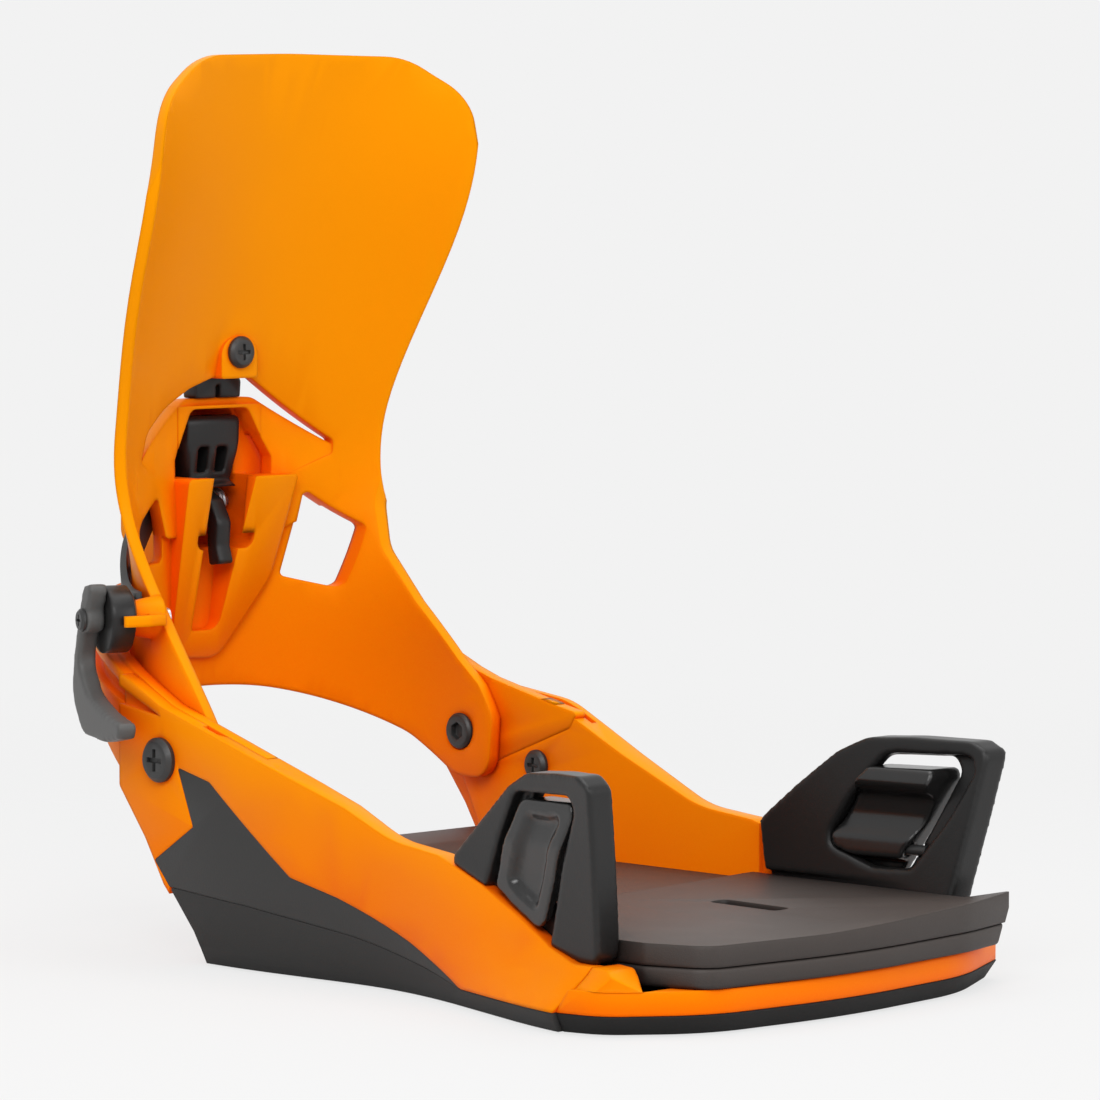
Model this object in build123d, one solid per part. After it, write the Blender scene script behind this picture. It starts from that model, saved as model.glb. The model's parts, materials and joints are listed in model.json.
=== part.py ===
"""Step-in snowboard binding for the right foot, with a highback.

Origin: centre of the mounting disc on the plane that lies on the board.
+Z up, +Y towards the heel, +X towards the inner side of the foot. Millimetres.
"""
from build123d import *
import math
import os

# Fits and clearances
RUN_GAP = 0.4            # between parts that move past each other
SEAT_GAP = 0.1           # between faces that rest on each other
PIN_FIT = 0.05           # radial clearance of a pin or shaft in its hole

# Layers of the base, from the board upwards
SOLE_T = 5.0             # rubber sole
FLOOR_T = 6.3            # floor of the chassis
RAMP_T = 5.7             # lower layer of the toe ramp
PAD_T = 5.6              # upper layer of the toe ramp
FOOTBED_T = 11.4         # foam footbed
BED_GAP = 0.4            # between the foam and the walls
HEEL_PAD_T = 6.0         # pad on the heel end of the footbed
FLOOR_Z = SOLE_T + FLOOR_T
BED_TOP = FLOOR_Z + FOOTBED_T

# Plan of the chassis, half widths of its outer wall at the height WALL_Z
HEEL_Y = 72.0            # rear end of the floor
WALL_Z = 25.0
WALL_LOW = 21.0          # below this the walls curve towards the sole
HEEL_HALF = 62.5
HEEL_TUCK = 2.0          # how far the wall draws in at the sole
WAIST_Y = 5.0
WAIST_HALF = 58.5
WAIST_LEAN = 0.10
CAGE_Y = -29.0           # where the toe cages begin
CAGE_HALF = 61.6
CAGE_SPREAD = 0.078      # how the cages spread towards the toe
CAGE_TWIST = 0.0032      # how their outward lean grows towards the toe
CAGE_UPRIGHT = 12.0      # distance in front of CAGE_Y at which they stand upright
SEAM_Y = -84.0           # where the toe end piece begins
SEAM_SLANT = 6.9         # how far the seam runs forward on its way up
SEAM_TOP = 16.8
FLARE = 9.8              # how far the foot of the wall stands out at the seam
INNER_HALF = 54.0        # inner face of the walls from the heel to the waist
INNER_WIDEN = 0.030      # how the inner faces spread towards the toe
WALL_TOP = 80.0
CAGE_WALL_T = 4.3        # side walls outside the cages
PANEL_T = 2.0            # thickness of the inlaid side panels and the sole's skirts

# Toe end
TOE_Y = -117.0           # front of the toe end at the middle
TOE_INNER = (80.0, -93.0)   # corner on the inner side of the foot
TOE_OUTER = (-73.0, -86.0)  # corner on the outer side of the foot
PAD_RISE = 2.6           # how much the pad rises to its inner tip

# Mounting disc
DISC_R = 46.0
DISC_FLANGE = 5.0
DISC_FLANGE_T = 3.0
DISC_TOP = FLOOR_Z - 0.4
BOLT_SPACING = 40.0
BOLT_SLOT_R = 3.3
BOLT_SLOT_L = 14.0
BOLT_HEAD_R = 6.2
BOLT_HEAD_DEPTH = 4.5

# Highback pivot and heel hoop
PIVOT_Y = 86.0
PIVOT_Z = 55.5
PIVOT_R = 3.0
SLEEVE_R = 4.2           # sleeve of the pivot nut, on which the highback turns
NUT_HEAD_R = 5.2
NUT_X = 48.2             # inner face of the pivot nut
LOBE_R = 13.0            # round end of the highback's wings
HOOP_T = 4.0
HOOP_HALF = 54.0         # inner half width of the hoop
HOOP_REAR = 151.0        # inner face of the hoop behind the heel
HOOP_SKIN = 3.4          # how far the hoop's skin and rib stand out
HOOP_SCREW_Y = 58.0
HOOP_SCREW_Z = 47.5
HOOP_SCREW_R = 2.5
HIGHBACK_SCREW_R = 2.0

# Highback
BACK_T = 3.4
BACK_TOP = 250.0
BACK_LEVELS = 10         # sections the blade is lofted through
# Stations of the blade: height, outer half width, front edge, middle of its front face
STATIONS = [
    (40.0, 53.4, 73.0, 141.6),
    (64.0, 53.4, 74.5, 141.8),
    (84.0, 52.4, 91.0, 141.4),
    (104.0, 50.4, 107.0, 140.0),
    (126.0, 49.8, 117.2, 136.6),
    (152.0, 51.0, 115.4, 130.0),
    (184.0, 57.4, 101.8, 121.4),
    (216.0, 60.8, 89.4, 112.0),
    (252.0, 60.8, 87.0, 102.0),
]

# Heel latch
LATCH_Y = 145.0
LATCH_Z = 121.0
LATCH_HALF = 9.6
LATCH_PIN_R = 2.0
TAIL_HALF = 2.5
CAVITY_HALF = 10.6
HOUSING_HALF = 15.5
HOUSING_REAR = 160.0
ROOF_Z = 158.5           # top of the opening above the latch housing
ARCH_TOP = 151.5
ARCH_HALF = 37.0
ARCH_SHOULDER = 12.5
PILLAR_TOP = 129.0
PILLAR_FOOT = 74.0
PILLAR_STAND = 9.0       # how far the pillars stand out in front of the blade at their top
GROOVE_TOP_HALF = 8.2
GROOVE_FOOT_HALF = 2.4
GROOVE_FOOT = 84.4
OUTER_BACK_WINDOW = [
    (-20.6, 105.0, 2), (-21.2, 112.0, 8), (-25.6, 124.4, 1.5), (-40.0, 114.6, 2.5), (-36.8, 105.0, 2.5)]
BACK_WINDOW = [(23.0, 99.2, 1.5), (28.6, 124.4, 1.5), (43.0, 113.6, 2), (37.6, 95.2, 2.5)]
CHEEK_Y = 141.0          # front of the web that closes the opening beside the housing
CHEEK_T = 2.4

# Release lever
LEVER_Y = 104.0
LEVER_Z = 93.0
LEVER_ROOT = 50.4        # outer face of the highback's wing at the lever's shaft
LEVER_LEAN = 20.0        # the shaft stands square to the wing, which turns in towards the heel, degrees
LEVER_IN = 65.3          # inner face of the lever, before it is leaned
LEVER_T = 5.4
HUB_R = 9.4
HUB_IN = 58.5            # inner face of the hub, on top of the wing's cone
SHAFT_R = 2.6
CRANK_R = 6.5            # distance of the link's pin from the lever's shaft
CRANK_ANGLE = 20.0       # direction of the crank above the horizontal, degrees
CRANK_PIN_R = 1.4
CRANK_X = 52.6           # inner end of the crank pin
LINK_GAP = 1.2           # between the link and the blade
LINK_T = 1.9
LINK_SIDE = 16.2         # inner face of the link beside the latch housing
ARM_R = 8.6              # distance of the link's pin from the latch's pin
ARM_ANGLE = 15.0

# Toe cages
CAGE_T = 8.5
CAGE_SCREW_Y = (-42.0, -77.0)
CAGE_SCREW_IN = 3.2      # distance of the screws behind the cage's outer face
CLIP_PIN_R = 1.5
CLIP_PIN_Z = 34.5
CLIP_PIN_BACK = 22.0     # reach of the pin behind and in front of the clip's middle
CLIP_PIN_FRONT = 19.0
CLIP_GAP = 0.7


def rounded(corners):
    """Closed face from corners (x, y, radius)."""
    count = len(corners)
    points = [Vector(c[0], c[1]) for c in corners]
    starts, middles, ends = [], [], []
    for i, corner in enumerate(corners):
        here = points[i]
        to_prev = points[i - 1] - here
        to_next = points[(i + 1) % count] - here
        room = 0.48 * min(to_prev.length, to_next.length)
        a, b = to_prev.normalized(), to_next.normalized()
        half = 0.5 * math.acos(max(-1.0, min(1.0, a.dot(b))))
        radius = min(corner[2], room * math.tan(half))
        if radius < 0.05 or half > math.radians(89.5):
            starts.append(here)
            middles.append(None)
            ends.append(here)
            continue
        reach = radius / math.tan(half)
        inward = (a + b).normalized()
        starts.append(here + a * reach)
        middles.append(here + inward * (radius / math.sin(half) - radius))
        ends.append(here + b * reach)
    edges = []
    for i in range(count):
        if middles[i] is not None:
            edges.append(ThreePointArc(starts[i], middles[i], ends[i]))
        following = starts[(i + 1) % count]
        if (following - ends[i]).length > 1e-4:
            edges.append(Line(ends[i], following))
    return make_face(Curve() + edges)


def side_prism(corners, x_low, x_high):
    """Prism along X from an outline in Y and Z."""
    return extrude(Plane.YZ.offset(x_low) * rounded(corners), x_high - x_low)


def front_prism(corners, y_low, y_high):
    """Prism along Y from an outline in X and Z."""
    return extrude(Plane.XZ.offset(-y_low) * rounded(corners), -(y_high - y_low))


def plan_prism(corners, z_low, z_high):
    """Prism along Z from an outline in X and Y."""
    return extrude(Plane.XY.offset(z_low) * rounded(corners), z_high - z_low)


def rod(radius, start, end):
    """Round rod between two points."""
    a, b = Vector(*start), Vector(*end)
    return extrude(Plane(origin=a, z_dir=b - a) * Circle(radius), (b - a).length)


def block(x0, x1, y0, y1, z0, z1):
    """Box between two corners."""
    size = (x1 - x0, y1 - y0, z1 - z0)
    return Pos((x0 + x1) / 2, (y0 + y1) / 2, (z0 + z1) / 2) * Box(*size)


def both(shape):
    """The shape and its mirror image."""
    return shape + mirror(shape, about=Plane.YZ)


def polar(y, z, radius, degrees):
    """Point at a distance and a direction from (y, z)."""
    angle = math.radians(degrees)
    return y + radius * math.cos(angle), z + radius * math.sin(angle)


CRANK_Y, CRANK_Z = polar(LEVER_Y, LEVER_Z, CRANK_R, CRANK_ANGLE)
ARM_PIN_Y, ARM_PIN_Z = polar(LATCH_Y, LATCH_Z, ARM_R, ARM_ANGLE)


def leaned(shape):
    """Turns a shape about the vertical through the lever's root, from along X to square to the wing."""
    root = Pos(-LEVER_ROOT, LEVER_Y, 0)
    return root * (Rot(0, 0, -LEVER_LEAN) * (Pos(LEVER_ROOT, -LEVER_Y, 0) * shape))


def cage_x(y, z):
    """Outer face of the toe cage on the inner side of the foot."""
    ahead = CAGE_Y - y
    return CAGE_HALF + CAGE_SPREAD * ahead + CAGE_TWIST * (ahead - CAGE_UPRIGHT) * (z - WALL_Z)


# Chassis
def wall_plan(inset, z):
    """Plan of the chassis walls at height z, inset from the outer face."""
    low = max(0.0, (WALL_LOW - z) / (WALL_LOW - SOLE_T))
    high = max(z, WALL_LOW)
    foot = FLARE * low ** 1.5
    heel = HEEL_HALF - HEEL_TUCK * low - inset
    waist = WAIST_HALF + WAIST_LEAN * (z - WALL_Z) - inset
    cage = CAGE_HALF - inset
    seam = cage_x(SEAM_Y, high) + foot - inset
    tip = cage_x(-125.0, high) + foot - inset
    middle = (heel, PIVOT_Y - 20)
    right = Spline(middle, (0.5 * (heel + waist) - 0.3, 30), (waist, WAIST_Y), (cage, CAGE_Y),
                   (seam, SEAM_Y), (tip, -125), tangents=[(0, -1), (CAGE_SPREAD, -1)])
    left = mirror(right, about=Plane.YZ)
    heel_end = Polyline(middle, (heel, 120), (-heel, 120), (-middle[0], middle[1]))
    return make_face(Curve() + [right, left] + heel_end.edges() + [Line((tip, -125), (-tip, -125))])


def wall_body(inset, z_low, z_high):
    """Body within the walls' outer faces, or within faces inset from them."""
    heights = [z for z in (9.5, 14.5, WALL_LOW) if z > z_low + 1]
    plans = [Plane.XY.offset(z) * wall_plan(inset, z) for z in [z_low] + heights + [z_high]]
    return loft(plans, ruled=True)


def inner_plan(inset):
    """Plan of the space between the walls."""
    toe = INNER_HALF + INNER_WIDEN * (28.0 + 95.0) - inset
    half = INNER_HALF - inset
    return [(half, 130, 0), (half, 28, 60), (toe, -95, 0), (-toe, -95, 0), (-half, 28, 60), (-half, 130, 0)]


def wall_profile():
    """Side view of the walls, from the seam round the heel and back along the top."""
    return [
        (SEAM_Y + 0.4, SOLE_T + SEAT_GAP, 0),
        (HEEL_Y, SOLE_T + SEAT_GAP, 4),
        (HEEL_Y + 13, 21.0, 12),
        (HEEL_Y + 21, 33.5, 10),
        (PIVOT_Y + 18, PIVOT_Z - 8.5, 2),
        (PIVOT_Y + 18, PIVOT_Z + 23.0, 1),
        (PIVOT_Y - 4, PIVOT_Z + 14.0, 12),
        (52.0, 66.0, 30),
        (22.0, 52.5, 60),
        (-6.0, 41.0, 40),
        (-26.0, 39.0, 4),
        (-45.0, 33.0, 8),
        (-60.0, 26.5, 8),
        (-72.0, 20.0, 6),
        (-83.0, SEAM_TOP, 6),
        (SEAM_Y + 0.4 - SEAM_SLANT, SEAM_TOP, 0),
    ]


SKIRT_LINE = [
    (-37.0, SOLE_T, 0),
    (-20.0, 8.2, 10),
    (12.0, 13.4, 20),
    (51.0, 18.2, 20),
    (HEEL_Y + 10.6, 20.6, 0.6),
]
# The panel stands on the skirt
PANEL_PROFILE = [
    (PIVOT_Y - 7, PIVOT_Z - 1.5, 0.6),
    (PIVOT_Y - 20.5, PIVOT_Z - 4.5, 2),
    (34.0, 27.5, 3),
    (17.0, 23.5, 6),
    (-12.0, 14.5, 20),
] + [(y, z - SEAT_GAP / 2, r) for y, z, r in SKIRT_LINE] + [
    (HEEL_Y + 17.0, 27.5, 0.6),
    (PIVOT_Y - 13.5, PIVOT_Z - 17.5, 0.6),
]
HOOP_SEAM = [(45.0, 59.0), (PIVOT_Y - 2, PIVOT_Z - 11.5)]


def hoop_profile(grow=0.0):
    """Side view of the hoop: plates beside the pivot, then the band that climbs to the rear."""
    lower_rear = PIVOT_Z + 22.0 + grow
    return [
        (HOOP_SEAM[0][0] - 3 - grow, 63.5 + grow, 1),
        (HOOP_SEAM[0][0] - grow, HOOP_SEAM[0][1] - grow, 1),
        (HOOP_SEAM[1][0], HOOP_SEAM[1][1] - grow, 3),
        (PIVOT_Y + 13, PIVOT_Z - 9.5 - grow, 6),
        (PIVOT_Y + 33, PIVOT_Z + 6.0 - grow, 12),
        (HOOP_REAR + HOOP_T + 2, lower_rear, 0),
        (HOOP_REAR + HOOP_T + 2, lower_rear + 22.0, 0),
        (PIVOT_Y + 30, PIVOT_Z + 28.0 + grow, 20),
        (PIVOT_Y - 8, PIVOT_Z + 15.6 + grow, 20),
        (52.0, 65.4 + grow, 20),
    ]


def hoop_ring(inset_in, inset_out):
    """Plan ring of the hoop between two offsets outwards from its inner face."""
    def half_plan(offset):
        half = HOOP_HALF + offset
        bend_y = PIVOT_Y + 8
        bend = EllipticalCenterArc((0, bend_y), half, HOOP_REAR + offset - bend_y, 0, arc_size=180)
        sides = Polyline((-half, bend_y), (-half, 30.0), (half, 30.0), (half, bend_y))
        return make_face(Curve() + [bend] + sides.edges())
    return half_plan(inset_out) - half_plan(inset_in)


def outer_arm_cut():
    """Room above the arm on the outer side, which is lower than the inner one."""
    return side_prism([
        (110.0, 81.6, 0), (100.0, 77.0, 30), (86.0, 70.2, 20), (12.0, 48.4, 0),
        (12.0, 95.0, 0), (110.0, 95.0, 0)],
        -90, -40)


def make_hoop():
    ring = extrude(Plane.XY.offset(30) * hoop_ring(0, HOOP_T), 90)
    hoop = ring & side_prism(hoop_profile(), -70, 70)
    # thicker skin below the lower rib, and the rib along the upper edge, both behind the arms
    skin = extrude(Plane.XY.offset(30) * hoop_ring(HOOP_T - 0.2, HOOP_T + HOOP_SKIN), 90)
    start = PIVOT_Y + 18 + SEAT_GAP
    top_rib = [
        (start, PIVOT_Z + 19.4, 0),
        (PIVOT_Y + 30, PIVOT_Z + 24.5, 20),
        (HOOP_REAR + 9, PIVOT_Z + 40.5, 0),
        (HOOP_REAR + 9, PIVOT_Z + 44.5, 0),
        (PIVOT_Y + 30, PIVOT_Z + 28.0, 20),
        (start, PIVOT_Z + 22.6, 0),
    ]
    lower = [
        (start, 30, 0),
        (HOOP_REAR + 9, 30, 0),
        (HOOP_REAR + 9, PIVOT_Z + 33.5, 0),
        (PIVOT_Y + 30, PIVOT_Z + 18.0, 20),
        (start, PIVOT_Z + 14.5, 0),
    ]
    for region in (top_rib, lower):
        hoop = hoop + (skin & side_prism(region, -70, 70) & side_prism(hoop_profile(), -70, 70))
    hoop = hoop - rod(SLEEVE_R + PIN_FIT, (-70, PIVOT_Y, PIVOT_Z), (70, PIVOT_Y, PIVOT_Z))
    return hoop - outer_arm_cut()


def make_chassis():
    z0 = SOLE_T + SEAT_GAP
    outer = wall_body(0.0, z0, WALL_TOP)
    inner = plan_prism(inner_plan(0.0), FLOOR_Z, WALL_TOP + 1)
    inner_toe = wall_body(CAGE_WALL_T, FLOOR_Z, WALL_TOP + 1) & block(-90, 90, -130, CAGE_Y, 0, 90)
    walls = outer & side_prism(wall_profile(), -90, 90)
    chassis = walls - inner - inner_toe
    # the floor stops at the heel and between the walls the rear stays open
    chassis = chassis - block(-HOOP_HALF, HOOP_HALF, HEEL_Y + 0.5, 130, 0, 90)
    # the inner layer of each wall ends before the outer one
    inner_end = [(HEEL_Y + 3, 10, 0), (HEEL_Y + 11, 28, 8), (PIVOT_Y + 5, PIVOT_Z - 11, 2),
                 (PIVOT_Y + 5, 90, 0), (140, 90, 0), (140, 10, 0)]
    chassis = chassis - side_prism(inner_end, -HOOP_HALF - HOOP_T - SEAT_GAP, HOOP_HALF + HOOP_T + SEAT_GAP)
    # seat of the hoop plates on the inner side of the walls
    chassis = chassis - (side_prism(hoop_profile(SEAT_GAP), -90, 90) & both(
        block(HOOP_HALF - 2, HOOP_HALF + HOOP_T + SEAT_GAP, 30, 130, 30, 90)))
    # shallow groove between the ribs that run on into the hoop
    rib_gap = side_prism([
        (PIVOT_Y, PIVOT_Z + 12.0, 0), (PIVOT_Y + 19, PIVOT_Z + 14.5, 0), (PIVOT_Y + 19, PIVOT_Z + 19.8, 0)],
        -90, 90)
    chassis = chassis - (rib_gap - wall_body(2.2, z0, WALL_TOP + 1))
    # recess for the side panels and the skirts of the sole
    for outline in (PANEL_PROFILE, skirt_outline(HEEL_Y + 13.0)):
        cutter = side_prism(outline, -90, 90)
        chassis = chassis - (cutter - wall_body(PANEL_T, z0 - 1, WALL_TOP))
    # disc hole with its ledge
    chassis = chassis - Pos(0, 0, z0 - 1) * Cylinder(
        DISC_R + 0.6, 20, align=(Align.CENTER, Align.CENTER, Align.MIN))
    chassis = chassis - Pos(0, 0, DISC_TOP - DISC_FLANGE_T) * Cylinder(
        DISC_R + DISC_FLANGE + 0.6, 20, align=(Align.CENTER, Align.CENTER, Align.MIN))
    # groove along the top of each arm
    groove = block(HOOP_HALF + HOOP_T, HOOP_HALF + HOOP_T + 2.0, 40, 71, 56, 90)
    keep = side_prism([(y, z - 4.0, r) for y, z, r in wall_profile()], -90, 90)
    chassis = chassis - both(groove - keep)
    chassis = chassis - rod(PIVOT_R + PIN_FIT, (-90, PIVOT_Y, PIVOT_Z), (90, PIVOT_Y, PIVOT_Z))
    screw = rod(HOOP_SCREW_R + PIN_FIT, (30, HOOP_SCREW_Y, HOOP_SCREW_Z), (58, HOOP_SCREW_Y, HOOP_SCREW_Z))
    for y in CAGE_SCREW_Y:
        x = cage_x(y, FLOOR_Z) - CAGE_SCREW_IN
        screw = screw + rod(2.0, (x, y, 0), (x, y, 16)) + rod(4.0, (x, y, 0), (x, y, SOLE_T + 2.0))
    return chassis - both(screw) - outer_arm_cut()


def skirt_outline(heel_end):
    """Side view of the skirts, from the sole up to the side panels."""
    return [(-37.0, -2.0, 0), (-37.0, SOLE_T + 0.2, 0)] + SKIRT_LINE[1:] + [
        (heel_end, SOLE_T + 4.0, 0), (HEEL_Y, -2.0, 0)]


def make_sole():
    """Rubber sole with skirts that rise along the outside of the walls."""
    low = wall_plan(2.4, SOLE_T)
    high = Plane.XY.offset(SOLE_T) * wall_plan(0.0, SOLE_T)
    sole = loft([low, high]) & block(-90, 90, SEAM_Y + 0.4, HEEL_Y, 0, SOLE_T)
    skirt = wall_body(0.0, SOLE_T, WALL_TOP) - wall_body(PANEL_T - SEAT_GAP, SOLE_T - 1, WALL_TOP)
    raised = [(y, max(z, SOLE_T) - SEAT_GAP, r) for y, z, r in skirt_outline(HEEL_Y + 2.0)]
    skirt = skirt & side_prism(raised, -90, 90)
    sole = sole + skirt
    return sole - Pos(0, 0, -1) * Cylinder(DISC_R + 2, 20, align=(Align.CENTER, Align.CENTER, Align.MIN))


def make_side_panel():
    """Inlaid panel on the inner side of the foot; the other one is its mirror image."""
    skin = wall_body(0.0, SOLE_T + 0.2, WALL_TOP) - wall_body(PANEL_T - SEAT_GAP, SOLE_T - 1, WALL_TOP)
    panel = skin & side_prism(PANEL_PROFILE, 0, 90)
    return panel - rod(HOOP_SCREW_R + 2, (30, PIVOT_Y, PIVOT_Z), (90, PIVOT_Y, PIVOT_Z))


# Toe end
def toe_plan(inset=0.0):
    """Plan of the toe end in front of the seam."""
    inner_x, inner_y = TOE_INNER
    outer_x, outer_y = TOE_OUTER
    front = TOE_Y + inset
    return [
        (outer_x - 1.0 + inset, SEAM_Y, 0),
        (outer_x + 2.0 + inset, outer_y - 12.0 + inset, 16),
        (outer_x + 25.0, front + 2.5, 40),
        (0.0, front - 1.5, 200),
        (inner_x - 30.0, front + 5.5, 60),
        (inner_x + 1.5 - inset, inner_y - 2.0 + inset, 3),
        (inner_x - 6.0 - inset, SEAM_Y, 0),
    ]


def toe_layer(inset, z_low, z_high):
    layer = plan_prism(toe_plan(inset), z_low, z_high)
    return layer


def make_toe_sole():
    low = Plane.XY * rounded(toe_plan(2.4))
    high = Plane.XY.offset(SOLE_T) * rounded(toe_plan(0.0))
    return loft([low, high])


def make_toe_end():
    """Toe end piece in the chassis colour, with a raised corner under the front of each cage."""
    body = toe_layer(0.2, SOLE_T + SEAT_GAP, FLOOR_Z)
    corner = wall_body(0.0, SOLE_T + SEAT_GAP, WALL_TOP) - wall_body(CAGE_WALL_T + 5, SOLE_T, WALL_TOP + 1)
    corner = corner & side_prism([
        (SEAM_Y + 2, SOLE_T + 1, 0), (SEAM_Y + 2, SEAM_TOP, 0), (-92.0, SEAM_TOP, 1),
        (-97.0, SEAM_TOP - 0.3, 3), (-105.0, FLOOR_Z - 1, 0), (-105.0, SOLE_T + 1, 0)], -90, 90)
    corner = corner & plan_prism(toe_plan(0.3), SOLE_T, 30)
    seam_y = SEAM_Y + 0.4 - 1.5 * SEAT_GAP
    behind = side_prism([
        (seam_y, 0, 0), (seam_y, SOLE_T + SEAT_GAP, 0), (seam_y - SEAM_SLANT, SEAM_TOP, 0),
        (seam_y - SEAM_SLANT, 40, 0), (0, 40, 0), (0, 0, 0)], -90, 90)
    return body + corner - behind


def bed_outline(inset):
    """Plan of the footbed between the walls, with its pointed toe end."""
    inner_x, inner_y = TOE_INNER
    outer_x, outer_y = TOE_OUTER
    half = INNER_HALF - BED_GAP - inset
    toe = INNER_HALF + INNER_WIDEN * (28.0 - SEAM_Y) - BED_GAP - inset
    return [
        (half, HEEL_Y - 1.0, 6),
        (half, 28.0, 60),
        (toe, SEAM_Y, 2),
        (toe + 1.0, SEAM_Y - 20.0, 2),
        (inner_x - 5.0, inner_y - 13.0, 0.6),
        (inner_x - 30.0, TOE_Y + 4.0, 60),
        (0.0, TOE_Y - 3.0, 200),
        (outer_x + 24.0, TOE_Y + 2.5, 9),
        (-toe + 0.9, SEAM_Y - 14.0, 5),
        (-toe, SEAM_Y, 2),
        (-half, 28.0, 60),
        (-half, HEEL_Y - 1.0, 6),
    ]


def tip_undercut():
    """Cutter for the slanted side of the ramp and the footbed below the tip."""
    tip_x = TOE_INNER[0] - 4.9
    return front_prism([
        (tip_x, BED_TOP + PAD_RISE + 0.4, 0), (tip_x - 8.8, FLOOR_Z - 0.5, 0),
        (tip_x + 20, FLOOR_Z - 0.5, 0),
        (tip_x + 20, 40, 0), (tip_x, 40, 0)], -130, SEAM_Y - 6)


def make_toe_ramp():
    """Lower layer of the toe ramp."""
    ramp = plan_prism(bed_outline(0.0), FLOOR_Z + SEAT_GAP, FLOOR_Z + RAMP_T)
    return (ramp & block(-90, 90, -130, SEAM_Y + 2, 0, 60)) - tip_undercut()


def make_footbed():
    """Foam footbed; its toe end lies on the ramp and rises to a pointed tip."""
    full = plan_prism(bed_outline(0.0), FLOOR_Z + RAMP_T + SEAT_GAP, BED_TOP + PAD_RISE)
    rear = plan_prism(bed_outline(0.0), FLOOR_Z + SEAT_GAP, BED_TOP)
    rear = rear & block(-90, 90, SEAM_Y + 2 + SEAT_GAP, 130, 0, 60)
    bed = full + rear
    crease_x = -9.0
    above = front_prism([
        (-95, BED_TOP, 0), (crease_x, BED_TOP, 30), (TOE_INNER[0], BED_TOP + PAD_RISE, 0),
        (95, BED_TOP + PAD_RISE + 0.5, 0), (95, 60, 0), (-95, 60, 0)], -130, CAGE_Y + 2)
    flat = block(-95, 95, CAGE_Y + 2, 130, BED_TOP, 60)
    bed = bed - above - flat
    bed = bed - tip_undercut()
    slot = plan_prism([(9, -56, 2), (15, -56, 2), (15, -81, 2), (9, -81, 2)], BED_TOP - 4, 60)
    return bed - slot


def make_heel_pad():
    half = INNER_HALF - 1.6
    corners = [(half, 48.0, 3), (half, HEEL_Y + 7, 4), (-half, HEEL_Y + 7, 4), (-half, 48.0, 3)]
    pad = plan_prism(corners, BED_TOP + SEAT_GAP, BED_TOP + HEEL_PAD_T)
    wedge = side_prism([(40, BED_TOP + 1.5, 0), (56, BED_TOP + HEEL_PAD_T, 12),
                        (90, BED_TOP + HEEL_PAD_T + 0.01, 0), (90, 60, 0), (40, 60, 0)], -70, 70)
    return pad - wedge


def make_disc():
    """Mounting disc with four slotted, counterbored holes."""
    low = (Align.CENTER, Align.CENTER, Align.MIN)
    disc = Cylinder(DISC_R, DISC_TOP - DISC_FLANGE_T, align=low)
    rim_z = DISC_TOP - DISC_FLANGE_T
    disc = disc + Pos(0, 0, rim_z) * Cylinder(DISC_R + DISC_FLANGE, DISC_FLANGE_T, align=low)
    half = BOLT_SPACING / 2
    for x, y in ((half, half), (-half, half), (-half, -half), (half, -half)):
        through = Plane.XY.offset(-1) * Pos(x, y) * SlotOverall(BOLT_SLOT_L, 2 * BOLT_SLOT_R)
        disc = disc - extrude(through, 30)
        sink_l = BOLT_SLOT_L + 2 * (BOLT_HEAD_R - BOLT_SLOT_R)
        level = Plane.XY.offset(DISC_TOP - BOLT_HEAD_DEPTH)
        sink = level * Pos(x, y) * SlotOverall(sink_l, 2 * BOLT_HEAD_R)
        disc = disc - extrude(sink, 30)
    return disc


# Toe cages
def cage_strip(depth_out, depth_in):
    """Slab between two depths behind the cage's twisted outer face."""
    plans = []
    for z in (0.0, 80.0):
        corners = []
        for y, depth in ((-20, depth_out), (-125, depth_out), (-125, depth_in), (-20, depth_in)):
            corners.append((cage_x(y, z) - depth, y, 0))
        plans.append(Plane.XY.offset(z) * rounded(corners))
    return loft(plans, ruled=True)


def clip_plane():
    """Plane of the clip's outer face: x runs back, y is up and the origin is at the hinge's height."""
    y, z = CLIP_MID
    back = Vector(cage_x(y + 1, z) - cage_x(y, z), 1, 0).normalized()
    up = Vector(cage_x(y, z + 1) - cage_x(y, z), 0, 1).normalized()
    normal = back.cross(up).normalized()
    low = CLIP_PIN_Z - z
    origin = Vector(cage_x(y, z), y, z) + up * (low / up.Z)
    return Plane(origin=origin, x_dir=back, z_dir=normal)


def clip_rod(radius, back, front):
    """Rod along the clip's hinge line, between distances behind and in front of its middle."""
    plane = clip_plane()
    start = plane.from_local_coords((back, 0, CLIP_PIN_N))
    end = plane.from_local_coords((-front, 0, CLIP_PIN_N))
    return rod(radius, (start.X, start.Y, start.Z), (end.X, end.Y, end.Z))


CAGE_OUTLINE = [
    (-35.0, 11.6, 1), (-31.5, 39.8, 3), (-43.6, 50.0, 20), (-57.0, 60.4, 12), (-66.0, 64.6, 10),
    (-80.0, 65.4, 30), (-98.5, 65.3, 3), (-104.0, 62.6, 3), (-101.5, 44.0, 60), (-97.5, 19.0, 2),
    (-88.0, 11.6, 1),
]
OUTER_CAGE_OUTLINE = [
    (-35.0, 11.6, 1), (-31.5, 39.8, 3), (-43.6, 50.0, 20), (-57.0, 60.4, 12), (-66.0, 64.6, 10),
    (-80.0, 65.8, 30), (-91.0, 66.0, 3), (-95.4, 63.0, 3), (-93.4, 44.0, 60), (-90.4, 19.0, 2),
    (-84.0, 11.6, 1),
]
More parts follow.
